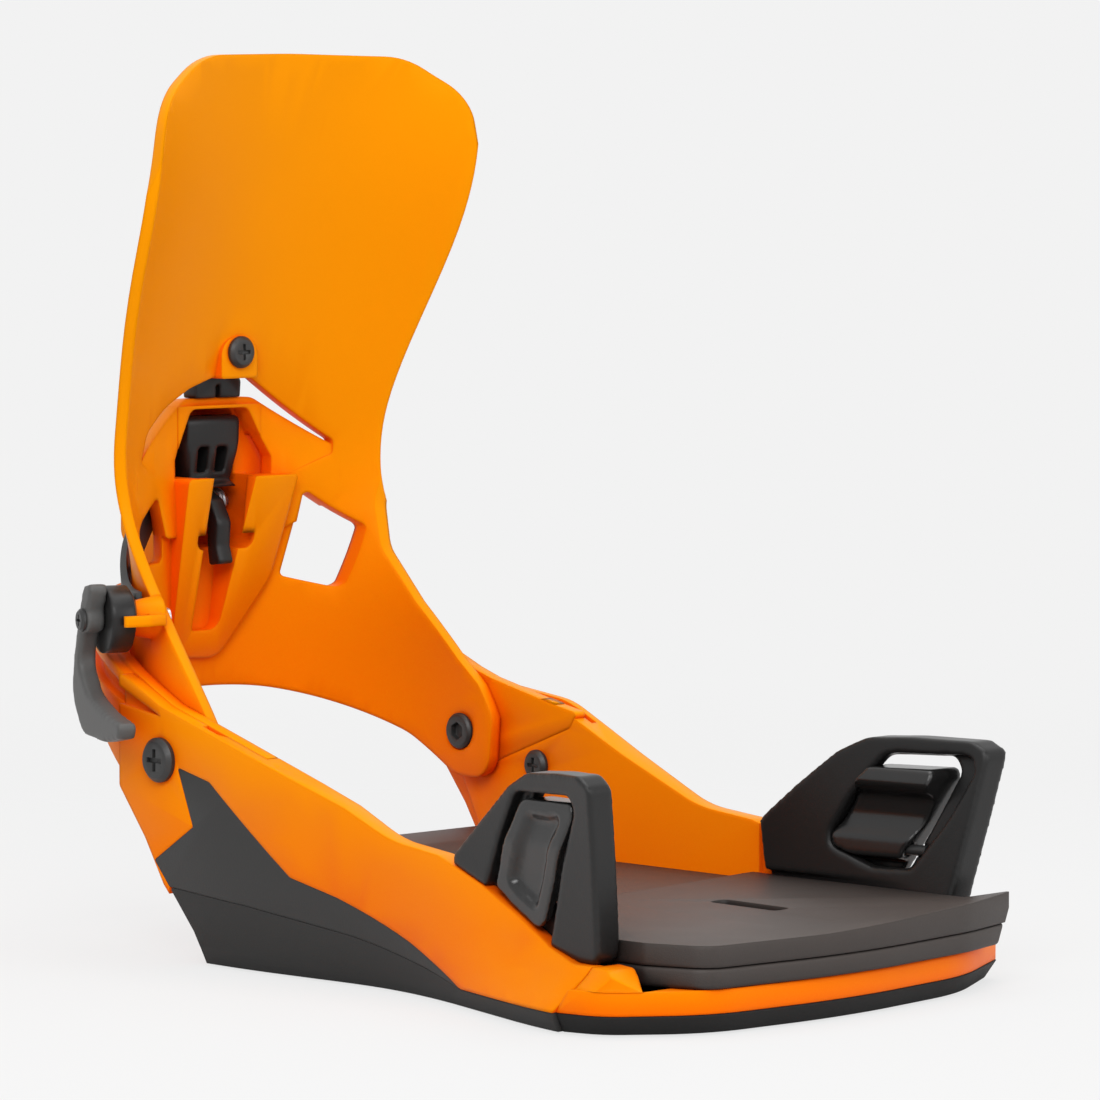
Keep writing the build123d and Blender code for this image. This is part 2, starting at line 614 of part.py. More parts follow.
# Windows and clip outlines: the foot is wider towards its inner side, where they sit further forward
WINDOW_OUT = [
    (-41.5, 25.0, 2), (-46.8, 35.0, 4), (-52.4, 47.0, 20), (-60.0, 59.2, 4), (-85.5, 60.4, 3),
    (-87.2, 56.6, 3), (-79.8, 43.0, 40), (-71.5, 20.0, 3), (-66.0, 13.0, 2),
]
WINDOW_IN = [
    (-50.5, 36.0, 4), (-64.5, 59.4, 5), (-88.0, 60.6, 4), (-90.0, 56.5, 4), (-84.5, 43.0, 40),
    (-77.5, 31.6, 4), (-68.0, 30.6, 6),
]
CLIP_OUTLINE = [
    (-49.0, 33.6, 2), (-53.6, 43.0, 20), (-62.8, 57.6, 4), (-84.6, 58.4, 4), (-85.2, 54.6, 4),
    (-77.6, 42.0, 40), (-70.5, 26.6, 3), (-67.0, 24.0, 3), (-57.0, 28.6, 3),
]
INNER_WINDOW_OUT = [
    (-41.5, 25.0, 2), (-46.8, 35.0, 4), (-54.4, 48.0, 20), (-62.0, 59.6, 4), (-91.0, 60.6, 3),
    (-93.4, 56.6, 3), (-87.5, 44.0, 40), (-74.5, 20.0, 3), (-67.0, 13.0, 2),
]
INNER_WINDOW_IN = [
    (-53.4, 35.0, 4), (-61.5, 48.0, 20), (-72.5, 60.8, 7), (-98.6, 61.6, 5), (-100.8, 57.6, 5),
    (-94.0, 44.0, 40), (-83.5, 30.0, 4), (-70.0, 29.6, 6),
]
INNER_CLIP_OUTLINE = [
    (-51.0, 34.6, 2), (-57.0, 44.0, 20), (-67.0, 57.0, 4), (-90.6, 57.6, 4), (-91.2, 55.0, 3),
    (-84.6, 42.5, 40), (-76.4, 29.0, 3), (-70.0, 24.0, 3), (-58.0, 28.6, 3),
]
CLIP_MID = (-66.0, 45.0)  # where the clip's plane touches the cage's outer face
CLIP_PIN_N = -5.0        # depth of the hinge behind the clip's outer face
# Section of the clip: distance outwards, height above the hinge
CLIP_SECTION = [
    (-0.4, -12.0, 0), (-0.2, 3.5, 6), (0.9, 11.5, 10), (-0.6, 23.8, 3), (-4.0, 24.7, 3),
    (-12.0, 21.7, 2), (-13.2, 17.9, 1.5), (-10.5, 15.7, 1), (-6.4, 14.5, 3), (-4.9, 7.5, 8),
    (-7.8, 2.5, 1), (-7.8, -2.5, 1), (-3.2, -3.3, 0.5), (-2.6, -12.0, 0),
]


def make_cage(outline, window_out, window_in):
    """Toe cage with its window and the hinge of the clip."""
    cage = cage_strip(0, CAGE_T) & side_prism(outline, 0, 95)
    # seat over the chassis wall and the raised corner of the toe end
    wall = side_prism(cage_seat_line(), 0, 95) - wall_body(CAGE_WALL_T + SEAT_GAP, 3, WALL_TOP + 1)
    cage = cage - wall
    corner = side_prism([
        (SEAM_Y + 2, 0, 0), (SEAM_Y + 2, SEAM_TOP + SEAT_GAP, 0), (-92.0, SEAM_TOP + SEAT_GAP, 1),
        (-97.0, SEAM_TOP - 0.3 + SEAT_GAP, 3), (-107.0, FLOOR_Z - 0.9, 0), (-107.0, 0, 0)], 0, 90)
    cage = cage - corner
    # clear of the ramp and the footbed
    cage = cage - plan_prism(bed_outline(-BED_GAP), FLOOR_Z - 1, BED_TOP + PAD_RISE + 0.6)
    cage = cage - (cage_strip(-6, CAGE_WALL_T) & side_prism(window_out, 0, 95))
    cage = cage - (cage_strip(CAGE_WALL_T - 0.01, CAGE_T + 9) & side_prism(window_in, 0, 95))
    for y in CAGE_SCREW_Y:
        x = cage_x(y, FLOOR_Z) - CAGE_SCREW_IN
        cage = cage - rod(1.95, (x, y, 5), (x, y, SOLE_T + 9.4))
    # cheeks behind and in front of the window hold the pin
    return cage - clip_rod(CLIP_PIN_R + PIN_FIT, CLIP_PIN_BACK + PIN_FIT, CLIP_PIN_FRONT + PIN_FIT)


def cage_seat_line():
    """Side view of the chassis walls that the cage stands on, with a gap."""
    top = [c for c in wall_profile() if c[0] < CAGE_Y + 8 and c[1] > SOLE_T + 1]
    line = [(y, z + SEAT_GAP, r) for y, z, r in top]
    start = [(CAGE_Y + 12, 0, 0), (CAGE_Y + 12, 39.0 + SEAT_GAP, 0)]
    return start + line + [(-120, SEAM_TOP + SEAT_GAP, 0), (-120, 0, 0)]


def make_clip(outline, window_in):
    """Clip in the cage's window, with the lip that holds the boot's hook and a dished outer face."""
    plane = clip_plane()
    section_start = plane.from_local_coords((25.0, 0, 0))
    section_plane = Plane(origin=section_start, x_dir=plane.z_dir, z_dir=-plane.x_dir)
    body = extrude(section_plane * rounded(CLIP_SECTION), 52)
    clip = body & side_prism(outline, 0, 95)
    inside = extrude(Plane.YZ * offset(rounded(window_in), -0.5), 95)
    split = CAGE_WALL_T - 0.5
    clip = (clip & cage_strip(-6, split)) + (clip & cage_strip(split, 30) & inside)
    return clip - clip_rod(CLIP_PIN_R + PIN_FIT, 40, 40)


def make_clip_pin():
    return clip_rod(CLIP_PIN_R, CLIP_PIN_BACK, CLIP_PIN_FRONT)


# Highback
def blade_path(station, offset):
    """Points of the blade's plan at one station, offset outwards from its front face."""
    height, half_out, edge_y, middle_y = station
    deep = middle_y - edge_y
    half = half_out - BACK_T * min(1.0, deep / half_out + 0.25)
    if deep >= half:
        radius, turn, straight = half, math.pi / 2, deep - half
    else:
        radius = (half * half + deep * deep) / (2 * deep)
        turn, straight = math.asin(half / radius), 0.0
    total = radius * turn + straight
    points = []
    steps = 8
    for i in range(-steps, steps + 1):
        along = abs(i) / steps * total
        angle = min(along / radius, turn)
        extra = max(0.0, along - radius * turn)
        x = (radius + offset) * math.sin(angle)
        y = middle_y - radius + (radius + offset) * math.cos(angle)
        x += extra * math.cos(turn)
        y -= extra * math.sin(turn)
        points.append((math.copysign(x, i), y, height))
    return points


def blade_section(station, offset_in, offset_out):
    inner = Spline(*blade_path(station, offset_in))
    outer = Spline(*blade_path(station, offset_out))
    caps = [Line(inner @ 0, outer @ 0), Line(inner @ 1, outer @ 1)]
    return make_face(Curve() + [inner, outer] + caps)


def blade_loft(stations, offset_in, offset_out):
    return loft([blade_section(s, offset_in, offset_out) for s in stations])


def station_at(height):
    """Blade station at any height, on smooth curves through the stations of the table."""
    count = len(STATIONS)
    for i in range(count - 1):
        low, high = STATIONS[i], STATIONS[i + 1]
        if low[0] <= height <= high[0]:
            before, after = STATIONS[max(i - 1, 0)], STATIONS[min(i + 2, count - 1)]
            span = high[0] - low[0]
            t = (height - low[0]) / span
            values = [height]
            for k in (1, 2, 3):
                tan_low = (high[k] - before[k]) / (high[0] - before[0]) * span
                tan_high = (after[k] - low[k]) / (after[0] - low[0]) * span
                rise = high[k] - low[k]
                cubic = t * tan_low + t * t * (3 * rise - 2 * tan_low - tan_high)
                values.append(low[k] + cubic + t ** 3 * (tan_low + tan_high - 2 * rise))
            return tuple(values)
    raise ValueError("height outside the blade")


def lever_rod(radius, x0, x1):
    """Rod along the lever's shaft, before it is leaned."""
    return rod(radius, (x0, LEVER_Y, LEVER_Z), (x1, LEVER_Y, LEVER_Z))


def make_lever_mount():
    """Cone on the outer wing that carries the lever's shaft, and the stop in front of the hub."""
    y, z = LEVER_Y, LEVER_Z
    top_x = SEAT_GAP - HUB_IN
    foot_x = 2.0 - LEVER_ROOT
    cone = Cone(6.4, 4.6, foot_x - top_x, align=(Align.CENTER, Align.CENTER, Align.MIN))
    cone = Pos(foot_x, y, z) * (Rot(0, -90, 0) * cone)
    # the link's eye swings behind the shaft
    cone = cone & block(-80, -30, y - 20, y + 0.2, z - 20, z + 20)
    cone = cone + lever_rod(4.6, top_x, top_x + 2.6)
    stop = plan_prism([
        (-49.4, y - 3.0, 0), (-49.4, y - 9.4, 1), (-55.0, y - 12.2, 3), (-62.4, y - 12.6, 0.8),
        (-62.8, y - 10.6, 0.8), (-57.0, y - 10.0, 2), (-54.0, y - 8.6, 2), (-53.0, y - 3.0, 0)],
        z - 1.4, z + 1.6)
    return leaned(cone + stop)


def make_highback():
    """Highback blade with its wings, latch housing and the pillars beside the latch."""
    first, last = STATIONS[0][0], STATIONS[-1][0]
    levels = [first + (last - first) * i / BACK_LEVELS for i in range(BACK_LEVELS + 1)]
    blade = blade_loft([station_at(z) for z in levels], 0.0, BACK_T)
    half = STATIONS[-1][1]
    top = front_prism([
        (half + 3, 30, 0), (half + 3, 200, 0), (half - 0.6, BACK_TOP - 34, 30),
        (half - 4, BACK_TOP - 12, 16), (half - 22, BACK_TOP - 0.8, 24), (0, BACK_TOP, 200), (-half + 26, BACK_TOP - 0.6, 30),
        (-half + 5, BACK_TOP - 14, 24), (-half + 0.6, BACK_TOP - 38, 30), (-half - 3, 200, 0),
        (-half - 3, 30, 0)], 40, 180)
    blade = blade & top
    # lower edge, with a round lobe about each pivot
    low = PIVOT_Z - LOBE_R
    edge = side_prism([
        (PIVOT_Y - LOBE_R, PIVOT_Z + 60, 0), (PIVOT_Y - LOBE_R, low, LOBE_R - 0.1),
        (PIVOT_Y + 2, low + 0.2, 16), (PIVOT_Y + 20, PIVOT_Z - 1.8, 30), (142.0, 68.5, 30),
        (175.0, 69.0, 0), (175.0, 270.0, 0), (PIVOT_Y - LOBE_R, 270.0, 0)], -90, 90)
    blade = blade & edge
    # the inner wing is narrower than the outer one, which carries the lever
    inner_edge = [
        (PIVOT_Y - LOBE_R - 2, 63.0, 0), (87.0, 76.0, 20), (102.5, 92.0, 0), (114.2, 107.0, 14),
        (118.0, 120.0, 14), (117.4, 136.0, 0), (40.0, 142.0, 0)]
    blade = blade - side_prism(inner_edge, 30, 90)
    # opening above the housing
    roof = front_prism([
        (-5.5, ROOF_Z, 2), (-16.5, 155.0, 8), (-27.0, 149.6, 12), (-34.0, 143.0, 4),
        (-ARCH_HALF + 1, 134.5, 1), (-16, 125, 2),
        (16, 125, 2), (ARCH_HALF - 1, 134.5, 1), (ARCH_HALF - 1, 138.5, 2), (5.5, ROOF_Z, 2)], 100, 175)
    blade = blade - roof
    # arch, standing upright behind the leaning blade
    base = station_at(PILLAR_TOP)
    arch_low = (100.0,) + base[1:]
    arch_high = (170.0,) + base[1:]
    arch = blade_loft([arch_low, arch_high], 0.0, BACK_T + 1.2)
    arch = arch & front_prism([
        (-ARCH_SHOULDER, ARCH_TOP, 6), (-21.0, 145.6, 14), (-ARCH_HALF - 1, 133.0, 4),
        (-ARCH_HALF - 1, 120.0, 4), (-20, 112, 2),
        (20, 112, 2), (ARCH_HALF + 1, 120.0, 4), (ARCH_HALF + 1, 136.0, 4), (ARCH_SHOULDER, ARCH_TOP, 6)],
        100, 175)
    # housing of the latch behind the blade, above the hoop
    housing = block(-HOUSING_HALF, HOUSING_HALF, 134.0, HOUSING_REAR, 103.5, ARCH_TOP - 2)
    housing = housing & side_prism([
        (120, 103.5, 0), (HOUSING_REAR - 6, 103.5, 3), (HOUSING_REAR, 112, 5),
        (HOUSING_REAR, ARCH_TOP - 5, 2), (HOUSING_REAR - 3, ARCH_TOP - 2, 1), (120, ARCH_TOP - 2, 0)],
        -60, 60)
    # pillars in front of the blade
    pillars = front_prism([
        (-14.0, PILLAR_FOOT + 3, 5), (-17.4, PILLAR_TOP, 1.5), (24.0, PILLAR_TOP, 1.5), (19.5, 99, 16),
        (4.0, PILLAR_FOOT + 2, 7)], 100, 150)
    pillars = pillars & blade_loft([station_at(z) for z in (70, 92, 114, 136)], -16.0, BACK_T - 0.4)
    pillars = pillars & side_prism([
        (136.6 - PILLAR_STAND - 1, PILLAR_TOP + 1, 1), (141.4, PILLAR_FOOT - 3, 0),
        (146, PILLAR_FOOT - 3, 0),
        (146, PILLAR_TOP + 6, 0), (136.6 - PILLAR_STAND + 5, PILLAR_TOP + 1, 1)], -60, 60)
    back = blade + arch + housing + pillars
    # room for the latch and its tail
    room = front_prism([
        (-CAVITY_HALF, 148.6, 3), (-CAVITY_HALF - 0.5, 139, 4), (-CAVITY_HALF, 121, 2),
        (-CAVITY_HALF, 108, 3),
        (CAVITY_HALF, 108, 3), (CAVITY_HALF, 121, 2), (CAVITY_HALF + 0.5, 139, 4), (CAVITY_HALF, 148.6, 3)],
        131, HOUSING_REAR - 3)
    mouth = front_prism([
        (-CAVITY_HALF, 148.6, 3), (-17, PILLAR_TOP + 5, 2), (-17, PILLAR_TOP, 0), (19, PILLAR_TOP, 0),
        (19, PILLAR_TOP + 5, 2), (CAVITY_HALF, 148.6, 3)], 100, 141)
    groove = front_prism([
        (-GROOVE_TOP_HALF + 0.6, GROOVE_FOOT, 1), (-GROOVE_TOP_HALF, PILLAR_TOP + 4, 0),
        (GROOVE_TOP_HALF, PILLAR_TOP + 4, 0), (GROOVE_FOOT_HALF, GROOVE_FOOT, 4)], 100, 142.4)
    # web behind the mouth, from the housing's inner wall to the arch
    cheek = front_prism([
        (HOUSING_HALF - 1, PILLAR_TOP - 3, 0), (25.0, PILLAR_TOP - 3, 2), (25.0, PILLAR_TOP + 5, 4),
        (HOUSING_HALF + 1, ARCH_TOP - 4, 2), (HOUSING_HALF - 1, ARCH_TOP - 4, 0)],
        CHEEK_Y, CHEEK_Y + CHEEK_T)
    back = back - room - mouth - groove + cheek
    back = back - front_prism(BACK_WINDOW, 90, 175)
    back = back - front_prism(OUTER_BACK_WINDOW, 90, 175)
    # raised tab that carries the upper screw
    tab_y = station_at(165.0)[3]
    tab = front_prism([(-6.8, ROOF_Z - 1, 1), (-6.8, 169.5, 6.5), (6.8, 169.5, 6.5), (6.8, ROOF_Z - 1, 1)],
                      tab_y - 1.6, tab_y + 4)
    back = back + tab
    back = back - rod(HIGHBACK_SCREW_R, (0, tab_y - 20, 165.0), (0, tab_y + 20, 165.0))
    # slot in the housing's side for the pin that joins the latch to the link
    low_y, low_z = polar(LATCH_Y, LATCH_Z, ARM_R, -ARM_ANGLE)
    back = back - block(-30, -CAVITY_HALF + 1, low_y - 2.4, low_y + 2.8, low_z - 2.4, ARM_PIN_Z + 2.2)
    pin_hole = rod(LATCH_PIN_R + PIN_FIT, (-HOUSING_HALF + 1.5, LATCH_Y, LATCH_Z),
                   (HOUSING_HALF + 5, LATCH_Y, LATCH_Z))
    back = back - pin_hole
    pivots = rod(SLEEVE_R + PIN_FIT, (-70, PIVOT_Y, PIVOT_Z), (70, PIVOT_Y, PIVOT_Z))
    flat = NUT_X + 1.8 + SEAT_GAP
    pivots = pivots + rod(NUT_HEAD_R + 0.4, (-flat, PIVOT_Y, PIVOT_Z), (flat, PIVOT_Y, PIVOT_Z))
    return back + make_lever_mount() - leaned(lever_rod(SHAFT_R + PIN_FIT, -70, -40)) - pivots



def cross_recess(size, depth):
    """Cutter for a cross recess, pointing down from the origin along -Z."""
    bar = Box(size, size * 0.22, depth * 2)
    return bar + Rot(0, 0, 90) * bar


def pan_screw(head_r, head_t, shank_r, length):
    """Pan head screw: head above the origin plane, shank along -Z."""
    low = (Align.CENTER, Align.CENTER, Align.MIN)
    head = Cylinder(head_r, head_t, align=low)
    head = chamfer(head.edges().group_by(Axis.Z)[-1], min(head_t * 0.5, head_r * 0.3))
    head = head - Pos(0, 0, head_t) * cross_recess(head_r * 1.0, head_t * 0.5)
    shank = Pos(0, 0, -length) * Cylinder(shank_r, length, align=low)
    return head + shank


def make_back_screw():
    """Screw at the top of the housing, from the front."""
    tab_y = station_at(165.0)[3] - 1.6 - SEAT_GAP
    screw = pan_screw(4.6, 2.0, HIGHBACK_SCREW_R - PIN_FIT, 9.0)
    return Pos(0, tab_y, 165.0) * (Rot(90, 0, 0) * screw)


def make_lean_clip():
    """Black slider at the top of the arch, behind the blade's opening."""
    y = station_at(PILLAR_TOP)[3]
    clip = front_prism([
        (-8.2, ARCH_TOP + SEAT_GAP, 0.6), (-8.6, 156.5, 2), (-4.2, 161.0, 2), (4.2, 161.0, 2),
        (8.6, 156.5, 2),
        (8.2, ARCH_TOP + SEAT_GAP, 0.6)], y - 1.5, y + BACK_T + 1.0)
    notch = front_prism([(-0.9, 150, 0), (-0.9, 155.4, 0.8), (0.9, 155.4, 0.8), (0.9, 150, 0)], y - 5, y + 10)
    return clip - notch


def make_lean_block():
    """Block under the housing that leans on the hoop."""
    y = HOOP_REAR
    return side_prism([
        (y - 2.5, 103.4 - SEAT_GAP, 0.5), (y - 2.5, 100.5, 0.5), (y + 5.5, 100.9, 1),
        (y + 5.5, 103.4 - SEAT_GAP, 0.5)],
        -11, 11)


# Heel latch
def make_latch():
    """Latch that holds the boot's heel, with two windows and a lip."""
    y, z = LATCH_Y, LATCH_Z
    latch = side_prism([
        (y - 8.4, z + 25.0, 2), (y - 8.0, z + 15.0, 4), (y - 6.2, z + 6.5, 1), (y - 9.0, z + 5.0, 1),
        (y - 8.4, z + 2.4, 1), (y - 4.6, z - 1.5, 2), (y - 1, z - 4.6, 4), (y + 4.4, z - 3.2, 4),
        (y + 4.6, z + 6, 4), (y + 1.5, z + 14, 8), (y + 0.5, z + 23, 3), (y - 3.5, z + 25.5, 2)],
        -LATCH_HALF, LATCH_HALF)
    taper = front_prism([
        (-LATCH_HALF, z + 26, 2), (-LATCH_HALF, z + 18, 6), (-LATCH_HALF + 2.0, z + 7, 2),
        (-LATCH_HALF + 1.6, z - 6, 2), (LATCH_HALF - 1.6, z - 6, 2), (LATCH_HALF - 2.0, z + 7, 2),
        (LATCH_HALF, z + 18, 6), (LATCH_HALF, z + 26, 2)], y - 20, y + 20)
    latch = latch & taper
    for side in (-1, 1):
        window = front_prism([
            (side * 1.3, z + 9.0, 1), (side * 1.3, z + 16.5, 1), (side * 5.8, z + 16.5, 1.5),
            (side * 5.2, z + 9.0, 1)], y - 20, y - 2.0)
        latch = latch - window
    # slot for the tail and the spring
    latch = latch - block(-3.6, 8.5, y - 9, y + 10, z - 8, z + 4.8)
    return latch - rod(LATCH_PIN_R + PIN_FIT, (-20, y, z), (20, y, z))


def make_latch_tail():
    """Curved finger below the latch, with an arm behind the pin for the link."""
    y, z = LATCH_Y, LATCH_Z
    finger = side_prism([
        (y - 3.0, z + 4.4, 1), (y - 9.5, z + 1.2, 2), (y - 13.0, z - 5.0, 4), (y - 12.4, z - 12.0, 4),
        (y - 14.0, z - 17.0, 1), (y - 9.0, z - 17.6, 1), (y - 8.2, z - 11.0, 4), (y - 8.4, z - 5.0, 3),
        (y - 4.0, z - 4.6, 3), (y + 4.0, z - 3.6, 2), (y + 11.0, z - 0.8, 2.6), (y + 11.0, z + 5.0, 2.6),
        (y + 4.2, z + 4.2, 2)], -TAIL_HALF, TAIL_HALF)
    finger = finger - rod(LATCH_PIN_R + PIN_FIT, (-20, y, z), (20, y, z))
    arm = rod(CRANK_PIN_R, (-LINK_SIDE - LINK_T, ARM_PIN_Y, ARM_PIN_Z),
              (0.5 - TAIL_HALF, ARM_PIN_Y, ARM_PIN_Z))
    return finger + arm


def make_latch_pin():
    return rod(LATCH_PIN_R, (-HOUSING_HALF + 1.6, LATCH_Y, LATCH_Z), (HOUSING_HALF - 0.6, LATCH_Y, LATCH_Z))


def coil(radius, wire, pitch, turns):
    """Close-wound coil about Z from the origin."""
    path = Helix(pitch=pitch, height=pitch * turns, radius=radius)
    return sweep(Plane(origin=path @ 0, z_dir=path % 0) * RegularPolygon(wire, 6), path)


def make_latch_spring():
    spring = coil(3.3, 0.65, 1.5, 2.8)
    return Pos(4.3, LATCH_Y, LATCH_Z) * (Rot(0, 90, 0) * spring)


# Release lever
def make_lever():
    y, z = LEVER_Y, LEVER_Z
    bar = side_prism([
        (y - 7.0, z + 10.8, 2), (y + 0.2, z + 9.6, 3), (y + 4.2, z + 2.0, 14), (y + 8.8, z - 11.0, 20),
        (y + 10.8, z - 22.0, 12), (y + 2.0, z - 32.0, 9), (y - 16.0, z - 32.6, 8), (y - 28.4, z - 30.6, 1.6),
        (y - 29.4, z - 26.4, 1.6), (y - 16.0, z - 24.4, 10), (y - 2.0, z - 20.4, 14), (y + 5.4, z - 12.0, 9),
        (y + 2.0, z - 5.0, 14), (y - 4.0, z + 4.5, 14)], -LEVER_IN - LEVER_T, -LEVER_IN)
    bar = bar + lever_rod(3.6, -LEVER_IN - LEVER_T, -LEVER_IN)
    return leaned(bar - lever_rod(1.5 + PIN_FIT, -90, -40))


def make_lever_hub():
    """Ribbed hub between the lever and the highback's wing, with the crank pin on its inner face."""
    x0 = SEAT_GAP - LEVER_IN
    hub = lever_rod(HUB_R, x0, -HUB_IN)
    for i in range(5):
        rib_y, rib_z = polar(LEVER_Y, LEVER_Z, HUB_R + 0.6, 108 + 36 * i)
        hub = hub - rod(1.5, (x0 - 1, rib_y, rib_z), (1 - HUB_IN, rib_y, rib_z))
    hub = hub + rod(CRANK_PIN_R, (-HUB_IN - 0.1, CRANK_Y, CRANK_Z), (-CRANK_X, CRANK_Y, CRANK_Z))
    return leaned(hub - lever_rod(SHAFT_R + 0.02, x0 - 1, 1 - HUB_IN))


def make_lever_shaft():
    x0 = SEAT_GAP - LEVER_IN
    shaft = lever_rod(SHAFT_R - 0.02, x0, -45.6)
    return leaned(shaft - lever_rod(1.52, x0 - 1, x0 + 4.5))


LINK_OUTLINE = [
    (-58.0, 91.8, 0), (-58.0, 98.6, 0), (-47.0, 101.0, 10), (-38.0, 111.0, 12), (-27.0, 121.5, 10),
    (-LINK_SIDE, 126.6, 0), (-LINK_SIDE, 119.6, 0), (-26.0, 106.5, 10), (-36.0, 97.5, 12), (-46.0, 92.6, 10),
]


def make_lever_link():
    """Strap behind the blade that carries the lever's turn to the latch."""
    levels = [station_at(z) for z in (84, 98, 112, 128)]
    strap = blade_loft(levels, BACK_T + LINK_GAP, BACK_T + LINK_GAP + LINK_T)
    strap = strap & front_prism(LINK_OUTLINE, LEVER_Y, 150)
    strap = strap & leaned(block(-90, 20, LEVER_Y + SHAFT_R + 0.4, 180, 80, 140))
    eye = leaned(rod(CRANK_PIN_R + 1.9, (-CRANK_X - 0.1, CRANK_Y, CRANK_Z),
                     (-CRANK_X - 3.1, CRANK_Y, CRANK_Z)))
    y, z = ARM_PIN_Y, ARM_PIN_Z
    lug = side_prism([
        (y - 13.2, z - 3.5, 1), (y - 13.2, z + 3.4, 1), (y + 1.0, z + 3.3, 3), (y + 3.3, z, 3), (y + 1.0, z - 3.3, 3)],
        -LINK_SIDE - LINK_T, -LINK_SIDE)
    link = strap + eye + lug
    crank_hole = leaned(rod(CRANK_PIN_R + PIN_FIT, (-CRANK_X - 9, CRANK_Y, CRANK_Z),
                            (-40, CRANK_Y, CRANK_Z)))
    arm_hole = rod(CRANK_PIN_R + 0.3, (-LINK_SIDE - 5, y, z), (-LINK_SIDE + 5, y, z))
    return link - crank_hole - arm_hole


def make_lever_screw():
    """Screw that holds the lever on its shaft."""
    screw = pan_screw(3.2, 1.3, 1.5, LEVER_T + 4.0)
    return leaned(Pos(-LEVER_IN - LEVER_T - SEAT_GAP, LEVER_Y, LEVER_Z) * (Rot(0, -90, 0) * screw))


def make_pivot_screw():
    """Screw through the inner-side arm into the sleeve nut; the head is outside."""
    x = HEEL_HALF + SEAT_GAP
    screw = pan_screw(6.2, 2.4, PIVOT_R, x - NUT_X - 2.6)
    return Pos(x, PIVOT_Y, PIVOT_Z) * (Rot(0, 90, 0) * screw)


def make_pivot_nut():
    """Sleeve nut that the highback's wing turns on, with a hexagon socket inside the wing."""
    low = (Align.CENTER, Align.CENTER, Align.MIN)
    nut = Cylinder(NUT_HEAD_R, 1.8, align=low)
    nut = chamfer(nut.edges().group_by(Axis.Z)[0], 0.8)
    sleeve_t = HOOP_HALF + HOOP_T - NUT_X - 1.8
    nut = nut + Pos(0, 0, 1.8) * Cylinder(SLEEVE_R, sleeve_t, align=low)
    nut = nut - Pos(0, 0, 2.5) * Cylinder(PIVOT_R + 0.02, 30, align=low)
    nut = nut - extrude(Plane.XY.offset(-1) * RegularPolygon(2.6, 6), 3.0)
    return Pos(NUT_X, PIVOT_Y, PIVOT_Z) * (Rot(0, 90, 0) * nut)


def make_cage_screw(y):
    """Flat screw from below the chassis floor into the foot of a toe cage."""
    x = cage_x(y, FLOOR_Z) - CAGE_SCREW_IN
    low = (Align.CENTER, Align.CENTER, Align.MIN)
    head = Cylinder(3.8, 1.6, align=low)
    head = head - cross_recess(4.4, 0.9)
    screw = head + Pos(0, 0, 1.6) * Cylinder(1.9, 7.0, align=low)
    return Pos(x, y, SOLE_T + 2 * SEAT_GAP) * screw


def make_hoop_screw():
    x = INNER_HALF - SEAT_GAP
    screw = pan_screw(4.4, 2.0, HOOP_SCREW_R, 3.4)
    return Pos(x, HOOP_SCREW_Y, HOOP_SCREW_Z) * (Rot(0, -90, 0) * screw)


def write(name, shape):
    export_step(shape, "parts/" + name + ".step")


def write_pair(name, shape, outer=None):
    """One node for the inner side of the foot and one for the outer side, drawn on the inner side too."""
    write(name + "_inner", shape)
    write(name + "_outer", mirror(outer or shape, about=Plane.YZ))


os.makedirs("parts", exist_ok=True)
write("chassis", make_chassis())
write("heel_hoop", make_hoop())
write("sole", make_sole())
write_pair("side_panel", make_side_panel())
write("toe_sole", make_toe_sole())
write("toe_end", make_toe_end())
write("toe_ramp", make_toe_ramp())
write("footbed", make_footbed())
write("heel_pad", make_heel_pad())
write("mounting_disc", make_disc())
inner_cage = make_cage(CAGE_OUTLINE, INNER_WINDOW_OUT, INNER_WINDOW_IN)
write_pair("toe_cage", inner_cage, make_cage(OUTER_CAGE_OUTLINE, WINDOW_OUT, WINDOW_IN))
write_pair("toe_clip", make_clip(INNER_CLIP_OUTLINE, INNER_WINDOW_IN), make_clip(CLIP_OUTLINE, WINDOW_IN))
write_pair("toe_clip_pin", make_clip_pin())
write("highback", make_highback())
write("highback_screw", make_back_screw())
write("lean_clip", make_lean_clip())
write("lean_block", make_lean_block())
write("heel_latch", make_latch())
write("latch_tail", make_latch_tail())
write("latch_pin", make_latch_pin())
write("latch_spring", make_latch_spring())
write("release_lever", make_lever())
write("lever_hub", make_lever_hub())
write("lever_shaft", make_lever_shaft())
write_pair("pivot_screw", make_pivot_screw())
write_pair("pivot_nut", make_pivot_nut())
write("hoop_screws", both(make_hoop_screw()))
cage_screws = [make_cage_screw(y) for y in CAGE_SCREW_Y]
write("cage_screws", both(cage_screws[0] + cage_screws[1]))
write("lever_link", make_lever_link())
write("lever_screw", make_lever_screw())
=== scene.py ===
import json
import math

